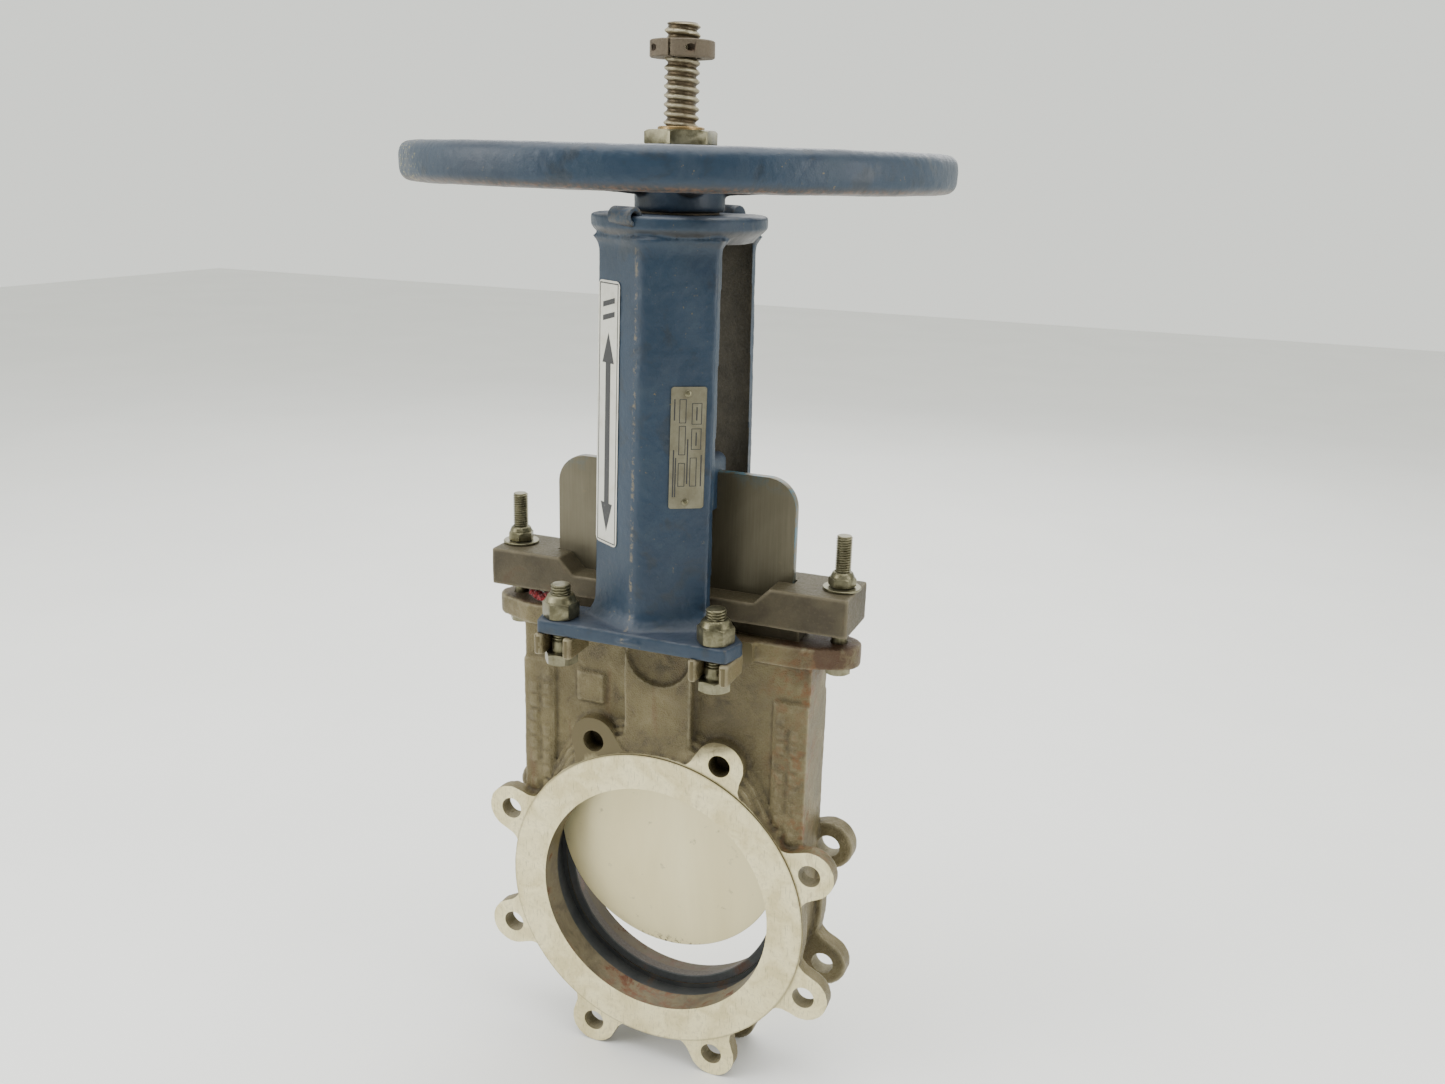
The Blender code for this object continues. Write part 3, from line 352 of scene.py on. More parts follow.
def machined_face():
    """Pale turned face with fine concentric marks, scratches, a few stains, and a line of painted
    shade along the raised face's step.
    """
    n = Nodes("machined_face")
    x = n.axis("X")
    z = n.math("SUBTRACT", n.axis("Z"), BORE_Z)
    radius = n.hypot(x, z)
    rings = n.noise(2600.0, 2.0, 0.7, radius)
    stains = n.noise(38.0, 6.0, 0.62, distortion=0.8)
    scratches = n.noise(110.0, 3.0, 0.6, n.scaled((9.0, 1.0, 0.8)))
    fine = n.noise(320.0, 5.0, 0.65)
    n.color = n.mix(n.ramp(stains, 0.38, 0.62), (0.66, 0.575, 0.31), (0.86, 0.78, 0.48))
    n.lay(n.ramp(stains, 0.61, 0.74, 0.0, 0.6), (0.42, 0.345, 0.18))
    n.lay(n.ramp(fine, 0.52, 0.72, 0.0, 0.4), (0.40, 0.34, 0.20))
    n.lay(n.ramp(scratches, 0.60, 0.67, 0.0, 0.5), (0.25, 0.21, 0.13))
    # painted shade: a thin darker line along the step at the raised face's edge
    step = n.math("ABSOLUTE", n.math("SUBTRACT", radius, RAISED_FACE_RADIUS))
    n.lay(n.ramp(step, 0.0, 1.6 * MM, 0.55, 0.0), (0.16, 0.125, 0.065))
    lean = n.math("SUBTRACT", z, n.times(x, 0.3))
    unground = n.ramp(n.math("ADD", lean, n.times(stains, 0.03)), 0.142, 0.156)
    unground = n.times(unground, n.ramp(radius, RAISED_FACE_RADIUS, RAISED_FACE_RADIUS + MM))
    n.lay(unground, (0.11, 0.088, 0.040))
    rough = n.ramp(rings, 0.3, 0.7, 0.36, 0.55)
    normal = n.bump(rings, 0.00006, 0.5)
    normal = n.bump(scratches, 0.0001, 0.4, normal)
    return n.finish(rough, 0.4, normal)


def bore_surface():
    """Inside of the bore: brown rust film over turned metal, with painted shade towards the rear.
    """
    n = Nodes("bore_surface")
    film = n.noise(45.0, 6.0, 0.65, distortion=0.6)
    spots = n.noise(220.0, 4.0, 0.7)
    n.color = n.mix(n.ramp(film, 0.38, 0.62), (0.085, 0.066, 0.034), (0.18, 0.15, 0.085))
    n.lay(n.ramp(film, 0.56, 0.68), (0.11, 0.032, 0.012))
    bottom = n.ramp(n.axis("Z"), BORE_Z - 0.085, BORE_Z - 0.102)
    orange = n.times(bottom, n.ramp(n.noise(100.0, 5.0, 0.65), 0.46, 0.6))
    n.lay(orange, (0.13, 0.038, 0.012), 0.7)
    n.lay(n.ramp(spots, 0.60, 0.72, 0.0, 0.5), (0.21, 0.18, 0.115))
    # painted shade deeper in the bore, behind the seat
    rear_shade = n.ramp(n.axis("Y"), 10 * MM, 12 * MM)
    n.lay(rear_shade, (0.030, 0.019, 0.010), 0.65)
    rough = n.ramp(film, 0.3, 0.7, 0.38, 0.7)
    return n.finish(rough, 0.5, n.bump(spots, 0.0003, 0.6))


def pocket_surface():
    """Dark grey film in the pocket round the gate."""
    n = Nodes("pocket_surface")
    film = n.noise(40.0, 5.0, 0.6)
    n.color = n.mix(n.ramp(film, 0.36, 0.64), (0.030, 0.033, 0.034), (0.055, 0.056, 0.052))
    n.lay(n.ramp(film, 0.60, 0.70), (0.075, 0.040, 0.020))
    return n.finish(0.55, 0.1, n.bump(n.noise(500.0), 0.0002, 0.5))


def seat_surface():
    """Dark smooth ring that the gate slides over."""
    n = Nodes("seat_surface")
    film = n.noise(30.0, 4.0, 0.6)
    fine = n.noise(500.0, 2.0, 0.6)
    n.color = n.mix(n.ramp(film, 0.35, 0.65), (0.036, 0.040, 0.043), (0.062, 0.064, 0.062))
    inner = n.ramp(n.axis("Y"), SEAT_FRONT + 0.3 * MM, SEAT_FRONT + 1.5 * MM)
    n.lay(inner, (0.034, 0.022, 0.012))
    n.lay(n.ramp(film, 0.58, 0.70, 0.0, 0.7), (0.085, 0.032, 0.014))
    return n.finish(n.ramp(fine, 0.3, 0.7, 0.55, 0.75), 0.0, n.bump(fine, 0.0001, 0.4))


def gate_sheet():
    """Ground stainless sheet: fine vertical grain, soft smears, blue paint on the top edge."""
    n = Nodes("gate_sheet")
    grain = n.noise(700.0, 3.0, 0.6, n.scaled((1.0, 1.0, 0.03)))
    smear = n.noise(9.0, 5.0, 0.55, n.scaled((1.0, 1.0, 0.45)), 0.7)
    marks = n.noise(90.0, 4.0, 0.65)
    n.color = n.mix(n.ramp(smear, 0.36, 0.64), (0.68, 0.60, 0.34), (0.82, 0.745, 0.46))
    exposed = n.ramp(n.axis("Z"), BORE_Z + 0.12, BORE_Z + 0.25)
    n.lay(exposed, n.mix(n.ramp(smear, 0.36, 0.64), (0.085, 0.074, 0.044), (0.135, 0.12, 0.080)))
    n.lay(n.ramp(marks, 0.66, 0.74, 0.0, 0.45), (0.17, 0.14, 0.08))
    n.lay(n.ramp(grain, 0.35, 0.7, 0.0, 0.04), (0.50, 0.46, 0.34))
    low_edge = n.times(n.ramp(n.axis("Z"), BORE_Z - 0.050, BORE_Z - 0.0575),
                      n.ramp(n.noise(240.0, 4.0, 0.7), 0.52, 0.60))
    n.lay(low_edge, (0.05, 0.03, 0.016))
    gate_top = BORE_Z + height("gate")
    shoulder = n.ramp(n.axis("Z"), gate_top - 14 * MM, gate_top - 2 * MM)
    side = n.ramp(n.math("ABSOLUTE", n.normal("Y")), 0.85, 0.5)
    paint = n.times(n.math("MAXIMUM", side, n.times(shoulder, 0.25)),
                   n.ramp(n.noise(60.0, 4.0, 0.7), 0.47, 0.56))
    high = n.ramp(n.axis("Z"), BORE_Z + 0.26, BORE_Z + 0.33)
    paint = n.times(paint, high)
    n.lay(paint, (0.025, 0.10, 0.14))
    rough = n.ramp(smear, 0.3, 0.7, 0.26, 0.44)
    metal = n.ramp(paint, 0.0, 1.0, 0.55, 0.0)
    normal = n.bump(marks, 0.00006, 0.3)
    return n.finish(rough, metal, normal)


def blue_enamel():
    """Old blue enamel on a rough casting: dust and painted top light on upward faces, painted shade
    on downward faces, chips to metal and rust on edges.
    """
    n = Nodes("blue_enamel")
    broad = n.noise(9.0, 5.0, 0.6)
    cloud = n.noise(42.0, 5.0, 0.6, distortion=0.5)
    fine = n.noise(330.0, 4.0, 0.65)
    n.color = n.mix(n.ramp(broad, 0.36, 0.64), (0.0085, 0.022, 0.043), (0.0150, 0.035, 0.063))
    n.lay(n.ramp(cloud, 0.50, 0.70, 0.0, 0.4), (0.034, 0.054, 0.074))
    n.lay(n.ramp(cloud, 0.44, 0.34, 0.0, 0.4), (0.020, 0.022, 0.022))
    # upward faces lighter and greyer: dust, and painted light from above
    up = n.ramp(n.normal("Z"), 0.35, 0.95)
    dust_and_top_light = n.times(up, n.ramp(cloud, 0.34, 0.66, 0.45, 1.0))
    n.lay(dust_and_top_light, (0.078, 0.082, 0.100), 0.5)
    # painted shade on downward faces
    down = n.ramp(n.normal("Z"), -0.30, -0.75)
    n.lay(down, (0.026, 0.021, 0.015), 0.8)
    out = n.new("ShaderNodeVectorMath", operation="LENGTH")
    n.plug(n.scaled((1.0, 1.0, 0.0)), out.inputs[0])
    rim = n.times(n.ramp(n.axis("Z"), BORE_Z + 0.594, BORE_Z + 0.5915),
                 n.ramp(out.outputs["Value"], 0.165, 0.172))
    rim = n.times(rim, n.ramp(fine, 0.46, 0.58))
    n.lay(rim, (0.12, 0.055, 0.025), 0.5)
    worn = n.times(n.edges(0.525, 0.60), n.ramp(fine, 0.42, 0.60))
    n.lay(worn, (0.12, 0.10, 0.065), 0.7)
    seam = n.math("ABSOLUTE", n.math("ADD", n.axis("X"), 5 * MM))
    front = n.ramp(n.axis("Y"), -0.055, -0.060)
    seam = n.times(n.ramp(seam, 2.2 * MM, 0.4 * MM), front)
    seam = n.times(seam, n.ramp(n.axis("Z"), BORE_Z + 0.56, BORE_Z + 0.54))
    seam = n.times(seam, n.ramp(n.noise(180.0, 4.0, 0.7), 0.50, 0.60))
    n.lay(seam, (0.15, 0.125, 0.08), 0.8)
    specks = n.times(n.ramp(fine, 0.650, 0.69), n.ramp(cloud, 0.5, 0.62))
    n.lay(specks, (0.12, 0.095, 0.05))
    flecks = n.times(n.spot(-150, -120, 612, 20, 70), n.ramp(fine, 0.59, 0.62))
    n.lay(flecks, (0.42, 0.38, 0.16))
    rough = n.ramp(cloud, 0.3, 0.7, 0.34, 0.52)
    normal = n.bump(fine, 0.0004, 0.6)
    normal = n.bump(cloud, 0.0012, 0.5, normal)
    return n.finish(rough, 0.0, normal, Specular_IOR_Level=0.45)


def dark_casting():
    """Unpainted brown inside of the yoke legs."""
    n = Nodes("dark_casting")
    cloud = n.noise(50.0, 5.0, 0.6)
    fine = n.noise(450.0, 3.0, 0.65)
    n.color = n.mix(n.ramp(cloud, 0.36, 0.64), (0.036, 0.031, 0.020), (0.062, 0.054, 0.036))
    return n.finish(n.ramp(fine, 0.3, 0.7, 0.6, 0.85), 0.1, n.bump(fine, 0.0008, 0.7))


def gland_casting():
    """Brown-grey rough bar with worn paler edges and painted top light on upward faces."""
    n = Nodes("gland_casting")
    cloud = n.noise(26.0, 5.0, 0.62, distortion=0.4)
    fine = n.noise(500.0, 4.0, 0.65)
    n.color = n.mix(n.ramp(cloud, 0.36, 0.64), (0.046, 0.036, 0.020), (0.080, 0.066, 0.037))
    n.lay(n.ramp(fine, 0.52, 0.72, 0.0, 0.5), (0.12, 0.10, 0.06))
    n.lay(n.ramp(cloud, 0.60, 0.72, 0.0, 0.5), (0.07, 0.033, 0.014))
    # painted top light: upward faces get a lighter copy of the base colour
    up = n.ramp(n.normal("Z"), 0.5, 0.95)
    n.lay(up, (0.10, 0.085, 0.045), 0.5)
    n.lay(n.edges(0.51, 0.56), (0.16, 0.135, 0.085))
    normal = n.bump(fine, 0.0007, 0.7)
    return n.finish(n.ramp(fine, 0.3, 0.7, 0.48, 0.75), 0.35, normal)


def zinc_metal():
    """Dull zinc plate with yellowed film and dark specks."""
    n = Nodes("zinc_metal")
    film = n.noise(130.0, 5.0, 0.6, distortion=0.5)
    fine = n.noise(900.0, 3.0, 0.6)
    n.color = n.mix(n.ramp(film, 0.38, 0.62), (0.105, 0.096, 0.054), (0.215, 0.20, 0.125))
    n.lay(n.ramp(fine, 0.56, 0.74, 0.0, 0.6), (0.075, 0.06, 0.032))
    n.lay(n.edges(0.52, 0.62), (0.34, 0.32, 0.23), 0.25)
    rough = n.ramp(film, 0.3, 0.7, 0.26, 0.45)
    return n.finish(rough, 0.85, n.bump(fine, 0.00015, 0.5))


def stem_metal():
    """Weathered turned steel, brown in the thread roots, paler on the crests."""
    n = Nodes("stem_metal")
    film = n.noise(60.0, 5.0, 0.62)
    fine = n.noise(700.0, 3.0, 0.65)
    x = n.axis("X")
    y = n.axis("Y")
    radius = n.hypot(x, y)
    crest = n.ramp(radius, 0.0113, 0.0131)
    n.color = n.mix(crest, (0.085, 0.064, 0.036), (0.40, 0.36, 0.25))
    n.lay(n.ramp(film, 0.45, 0.68, 0.0, 0.6), (0.17, 0.125, 0.07))
    n.lay(n.ramp(fine, 0.58, 0.72, 0.0, 0.4), (0.34, 0.31, 0.235))
    return n.finish(n.ramp(film, 0.3, 0.7, 0.34, 0.6), 0.7, n.bump(fine, 0.0002, 0.5))


def rusty_metal():
    """Brown rusted steel with a few bare bright places."""
    n = Nodes("rusty_metal")
    film = n.noise(90.0, 6.0, 0.68, distortion=0.4)
    fine = n.noise(800.0, 4.0, 0.7)
    n.color = n.mix(n.ramp(film, 0.36, 0.64), (0.034, 0.023, 0.014), (0.075, 0.052, 0.031))
    n.lay(n.ramp(film, 0.58, 0.70, 0.0, 0.7), (0.115, 0.038, 0.014))
    n.lay(n.edges(0.52, 0.58), (0.15, 0.12, 0.08))
    return n.finish(n.ramp(fine, 0.3, 0.7, 0.5, 0.85), 0.35, n.bump(fine, 0.0005, 0.7))


def bronze_metal():
    n = Nodes("bronze_metal")
    film = n.noise(120.0, 5.0, 0.6)
    fine = n.noise(900.0, 3.0, 0.6)
    n.color = n.mix(n.ramp(film, 0.36, 0.64), (0.20, 0.13, 0.05), (0.34, 0.24, 0.11))
    return n.finish(n.ramp(fine, 0.3, 0.7, 0.28, 0.5), 0.85, n.bump(fine, 0.0002, 0.5))


def red_fibre():
    """Braided red fibre packing."""
    n = Nodes("red_fibre")
    braid = n.voronoi(420.0)
    fuzz = n.noise(1500.0, 3.0, 0.7)
    n.color = n.mix(n.ramp(braid, 0.1, 0.7), (0.36, 0.016, 0.022), (0.14, 0.006, 0.008))
    n.lay(n.ramp(fuzz, 0.55, 0.75, 0.0, 0.5), (0.46, 0.07, 0.06))
    return n.finish(0.9, 0.0, n.bump(braid, 0.0010, 0.8), Sheen_Weight=0.4)


def nameplate_sheet():
    n = Nodes("nameplate_sheet")
    brushed = n.noise(600.0, 2.0, 0.6, n.scaled((1.0, 1.0, 0.04)))
    film = n.noise(80.0, 4.0, 0.6)
    n.color = n.mix(n.ramp(film, 0.36, 0.66), (0.155, 0.14, 0.092), (0.225, 0.21, 0.145))
    rough = n.ramp(brushed, 0.3, 0.7, 0.34, 0.5)
    return n.finish(rough, 0.6, n.bump(brushed, 0.00004, 0.4))


def label_sheet():
    n = Nodes("label_sheet")
    grime = n.noise(70.0, 5.0, 0.6)
    n.color = n.mix(n.ramp(grime, 0.5, 0.75, 0.0, 0.6), (0.62, 0.61, 0.54), (0.42, 0.39, 0.30))
    return n.finish(n.ramp(grime, 0.3, 0.7, 0.30, 0.45))


def black_ink():
    n = Nodes("black_ink")
    wear = n.noise(500.0, 3.0, 0.7)
    n.color = n.mix(n.ramp(wear, 0.60, 0.75, 0.0, 0.5), (0.022, 0.022, 0.024), (0.14, 0.14, 0.13))
    return n.finish(0.45, 0.0)


# Mesh helpers ---------------------------------------------------------------------------

def link(name, bm):
    mesh = bpy.data.meshes.new(name)
    bm.to_mesh(mesh)
    bm.free()
    item = bpy.data.objects.new(name, mesh)
    bpy.context.scene.collection.objects.link(item)
    return item


def at(x, y, z):
    """A point given by its height above the bore's centre."""
    return Vector((x, y, BORE_Z + z))


def in_mm(points):
    """An outline or profile written in millimetres."""
    return [(x * MM, y * MM) for x, y in points]


def box(low, high):
    low = Vector(low)
    high = Vector(high)
    bm = bmesh.new()
    bmesh.ops.create_cube(bm, size=1.0)
    bmesh.ops.scale(bm, vec=high - low, verts=bm.verts)
    bmesh.ops.translate(bm, vec=(low + high) / 2, verts=bm.verts)
    return link("box", bm)


def cylinder(radius, start, end, segments=64, end_radius=None):
    start = Vector(start)
    end = Vector(end)
    bm = bmesh.new()
    bmesh.ops.create_cone(bm, cap_ends=True, segments=segments, radius1=radius,
                          radius2=radius if end_radius is None else end_radius,
                          depth=(end - start).length)
    turn = Matrix.Translation((start + end) / 2) @ toward(end - start)
    bmesh.ops.transform(bm, matrix=turn, verts=bm.verts)
    return link("cylinder", bm)


def loft(rings):
    """A closed solid through rings of equally many points, capped at both ends."""
    bm = bmesh.new()
    layers = [[bm.verts.new(point) for point in ring] for ring in rings]
    count = len(layers[0])
    for lower, upper in zip(layers, layers[1:]):
        for index in range(count):
            follow = (index + 1) % count
            bm.faces.new((lower[index], lower[follow], upper[follow], upper[index]))
    bm.faces.new(list(reversed(layers[0])))
    bm.faces.new(layers[-1])
    bmesh.ops.recalc_face_normals(bm, faces=bm.faces)
    return link("loft", bm)


def plate(outline, low, high, upright=False):
    """A flat outline given thickness: (x, y) along Z, or upright (x, z) along Y."""
    if upright:
        rings = [[at(x, y, z) for x, z in outline] for y in (low, high)]
    else:
        rings = [[at(x, y, z) for x, y in outline] for z in (low, high)]
    return loft(rings)


def turned(profile, segments=96, raise_by=None):
    """A solid turned about a vertical axis from a closed (radius, height) profile."""
    base = BORE_Z if raise_by is None else raise_by
    bm = bmesh.new()
    rings = []
    for step in range(segments):
        angle = 2 * math.pi * step / segments
        rings.append([bm.verts.new((radius * math.cos(angle), radius * math.sin(angle), base + z))
                      for radius, z in profile])
    count = len(profile)
    for step in range(segments):
        here, there = rings[step], rings[(step + 1) % segments]
        for index in range(count):
            follow = (index + 1) % count
            bm.faces.new((here[index], there[index], there[follow], here[follow]))
    bmesh.ops.remove_doubles(bm, verts=bm.verts, dist=1e-7)
    bmesh.ops.dissolve_degenerate(bm, edges=bm.edges, dist=1e-7)
    bmesh.ops.recalc_face_normals(bm, faces=bm.faces)
    return link("turned", bm)


def arc(centre, radius, start, end, count):
    points = []
    for step in range(count + 1):
        angle = math.radians(start + (end - start) * step / count)
        points.append((centre[0] + radius * math.cos(angle), centre[1] + radius * math.sin(angle)))
    return points


def rounded_rectangle(low, high, radius):
    (x0, y0), (x1, y1) = (low[0] + radius, low[1] + radius), (high[0] - radius, high[1] - radius)
    points = []
    for start, centre in ((0, (x1, y1)), (90, (x0, y1)), (180, (x0, y0)), (270, (x1, y0))):
        points += arc(centre, radius, start, start + 90, 6)
    return points


def apply_modifiers(item):
    bpy.context.view_layer.update()
    depsgraph = bpy.context.evaluated_depsgraph_get()
    mesh = bpy.data.meshes.new_from_object(item.evaluated_get(depsgraph))
    item.modifiers.clear()
    item.data = mesh
    return item


def combine(base, tool, operation):
    modifier = base.modifiers.new("boolean", "BOOLEAN")
    modifier.operation = operation
    modifier.object = tool
    modifier.solver = "MANIFOLD"
    apply_modifiers(base)
    bpy.data.objects.remove(tool, do_unlink=True)
    return base


def union(base, *tools):
    for tool in tools:
        combine(base, tool, "UNION")
    return base


def cut(base, *tools):
    for tool in tools:
        combine(base, tool, "DIFFERENCE")
    return base


def gather(items):
    """Several separate solids as one object."""
    bm = bmesh.new()
    for item in items:
        item.data.transform(item.matrix_world)
        bm.from_mesh(item.data)
        bpy.data.objects.remove(item, do_unlink=True)
    return link("gathered", bm)


def as_casting(item, voxel, rounds, lumps=0.0, grit=0.0, seed=0.0):
    """Round every edge as a foundry would, then add the uneven skin of a sand mould."""
    remesh = item.modifiers.new("remesh", "REMESH")
    remesh.mode = "VOXEL"
    remesh.voxel_size = voxel
    remesh.use_smooth_shade = True
    smooth = item.modifiers.new("smooth", "SMOOTH")
    smooth.factor = 0.5
    smooth.iterations = rounds
    apply_modifiers(item)
    return roughen(item, ((lumps, 38.0), (grit, 210.0)), seed)


def roughen(item, layers, seed=0.0):
    """Move the skin in and out by layers of (depth, frequency) noise."""
    mesh = item.data
    shift = Vector((seed, seed * 0.7, -seed))
    normals = [vector.vector.copy() for vector in mesh.vertex_normals]
    places = [vertex.co.copy() for vertex in mesh.vertices]
    moved_places = []
    for place, normal in zip(places, normals):
        swell = sum(depth * noise.noise((place + shift) * scale)
                    for depth, scale in layers if depth)
        moved_places.extend(place + normal * swell)
    mesh.vertices.foreach_set("co", moved_places)
    mesh.update()
    return item


def moved(item, offset, turn=Matrix.Identity(4)):
    item.data.transform(Matrix.Translation(offset) @ turn)
    return item


def toward(direction):
    """The turn that points a piece's own Z along a direction."""
    return direction.to_track_quat("Z", "Y").to_matrix().to_4x4()


def soften(item, width, segments=2, angle=35.0):
    """Small rounded edges on a machined piece."""
    bevel = item.modifiers.new("bevel", "BEVEL")
    bevel.width = width
    bevel.segments = segments
    bevel.limit_method = "ANGLE"
    bevel.angle_limit = math.radians(angle)
    bevel.use_clamp_overlap = True
    return apply_modifiers(item)


def shade(item, angle=35.0):
    item.data.shade_smooth()
    item.data.set_sharp_from_angle(angle=math.radians(angle))
    return item


def place(item, name, body, slot, material, *nodes, angle=35.0):
    """Name a finished piece, give it its material and body, and hide what it stands for."""
    item.name = name
    item.data.name = name
    if material:
        base_material(item, material)
    shade(item, angle)
    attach(item, body)
    if nodes:
        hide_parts(*nodes)
    return item


def base_material(item, material):
    """One material everywhere, in place of any slots that the cutters left."""
    item.data.materials.clear()
    item.data.materials.append(material)
    item.data.polygons.foreach_set("material_index", [0] * len(item.data.polygons))


def assign(item, material, test):
    """Give a second material to the faces whose centre and normal pass a test."""
    item.data.materials.append(material)
    slot = len(item.data.materials) - 1
    for face in item.data.polygons:
        if test(face.center, face.normal):
            face.material_index = slot


# Body -----------------------------------------------------------------------------------

def lug_positions():
    for index in range(LUG_COUNT):
        angle = math.pi / LUG_COUNT + 2 * math.pi * index / LUG_COUNT
        yield (BOLT_CIRCLE_RADIUS * math.cos(angle), BOLT_CIRCLE_RADIUS * math.sin(angle), angle)


def lug_outline(x, z, angle):
    """A round ear whose flanks run out in a curve to the flange."""
    direction = Vector((math.cos(angle), math.sin(angle)))
    side = Vector((-math.sin(angle), math.cos(angle)))
    half_widths = in_mm([(110, 34), (128, 29), (133, 25), (139, 21.8)])
    left = [direction * along - side * half for along, half in half_widths]
    right = [direction * along + side * half for along, half in reversed(half_widths)]
    degrees = math.degrees(angle)
    outline = [tuple(point) for point in left]
    outline += arc((x, z), LUG_RADIUS, degrees - 80, degrees + 80, 24)
    outline += [tuple(point) for point in right]
    return outline


def flange_casting(side):
    rim = FACE_Y + 1.0 * MM
    back = FACE_Y - RAISED_FACE_HEIGHT - FLANGE_THICKNESS
    low, high = sorted((side * rim, side * back))
    solid = cylinder(RAISED_FACE_RADIUS + 0.6 * MM, (0, low, BORE_Z), (0, high, BORE_Z), 128)
    for x, z, angle in lug_positions():
        union(solid, plate(lug_outline(x, z, angle), low + 0.2 * MM, high - 0.2 * MM, upright=True))
    return solid


def top_plate_outline():
    """Ears at both ends and four slotted arms, as in the CAD part."""
    prong = (ARM_HALF_WIDTH - YOKE_SLOT_HALF_WIDTH) / 2
    offset = YOKE_SLOT_HALF_WIDTH + prong
    tip = 88.0 * MM - prong
    quarter = arc((GLAND_STUD_X, 0), 18 * MM, 0, 60, 10)
    quarter += [(122 * MM, 27.5 * MM), (ARM_X + ARM_HALF_WIDTH, 27.5 * MM)]
    quarter += arc((ARM_X + offset, tip), prong, 0, 180, 12)
    quarter += arc((ARM_X, YOKE_BOLT_Y - 4 * MM), YOKE_SLOT_HALF_WIDTH, 0, -180, 16)
    quarter += arc((ARM_X - offset, tip), prong, 0, 180, 12)
    quarter.append((ARM_X - ARM_HALF_WIDTH, 27.5 * MM))
    outline = list(quarter)
    outline += [(-x, y) for x, y in reversed(quarter)]
    outline += [(-x, -y) for x, y in quarter[1:]]
    outline += [(x, -y) for x, y in reversed(quarter[1:])]
    return outline


def neck_outline():
    """The shelf behind the flanges' upper half: nearly flat on top, with round corners."""
    points = in_mm([(0, 157), (35, 156), (55, 151), (72, 142), (88, 124), (100, 100), (108, 76),
                    (112, 40), (112, 0)])
    return list(reversed(points)) + [(-x, z) for x, z in points[1:]]


def body_casting():
    chest = [(CHEST_HALF_WIDTH, CHEST_TOP - 5 * MM)]
    chest += reversed(arc((0, 0), CHEST_HALF_WIDTH, -180, 0, 64))
    chest.append((-CHEST_HALF_WIDTH, CHEST_TOP - 5 * MM))
    solid = plate(chest, -CHEST_HALF_DEPTH, CHEST_HALF_DEPTH, upright=True)
    for half_depth, shrink in ((24 * MM, 1.0), (28 * MM, 0.975), (32 * MM, 0.935)):
        outline = [(x * shrink, z * shrink) for x, z in neck_outline()]
        union(solid, plate(outline, -half_depth, half_depth, upright=True))
    union(solid, plate(top_plate_outline(), CHEST_TOP - TOP_PLATE_THICKNESS, CHEST_TOP))
    for side in (-1, 1):
        union(solid, flange_casting(side))
        low, high = sorted((side * 31 * MM, 0))
        union(solid, box(at(-30 * MM, low, 146 * MM), at(30 * MM, high, 240 * MM)))
        cut(solid, cylinder(29 * MM, at(0, side * 60 * MM, 226 * MM),
                            at(0, side * 26.5 * MM, 226 * MM)))
        for flank in (-1, 1):
            inner, outer = sorted((flank * 99 * MM, flank * CHEST_HALF_WIDTH))
            strip_low, strip_high = sorted((side * 24.5 * MM, 0))
            union(solid, box(at(inner, strip_low, 40 * MM), at(outer, strip_high, 199 * MM)))
    pad = box(at(-77 * MM, -25 * MM, 169 * MM), at(-52 * MM, 0, 195 * MM))
    union(solid, pad)
    return as_casting(union(solid, cast_marks()), 1.6 * MM, 5, 0.5 * MM, 0.25 * MM)


def cast_marks():
    """Columns of small plain pads on the side strips, in place of cast characters."""
    pads = []
    for side in (-1, 1):
        for x in (-118, -106, 106, 118):
            for index in range(9):
                if (index * 3 + abs(x)) % 7 == 2:
                    continue
                z = 78 + index * 13
                low, high = sorted((side * 26.3 * MM, side * 20 * MM))
                pads.append(box(at((x - 3.2) * MM, low, z * MM),
                                at((x + 3.2) * MM, high, (z + 9) * MM)))
    return gather(pads)


def face_trims(side):
    """Cutters that leave the raised face and the lug faces flat."""
    face = side * FACE_Y
    far = side * (FACE_Y + 20 * MM)
    low, high = sorted((face, far))
    raised = cylinder(0.3, (0, low, BORE_Z), (0, high, BORE_Z), 64)
    low, high = sorted((side * (FACE_Y - RAISED_FACE_HEIGHT), far))
    ring = cylinder(0.3, (0, low, BORE_Z), (0, high, BORE_Z), 64)
    reach = 40 * MM
    cut(ring, cylinder(RAISED_FACE_RADIUS, (0, low - reach, BORE_Z), (0, high + reach, BORE_Z),
                       160))
    return raised, ring


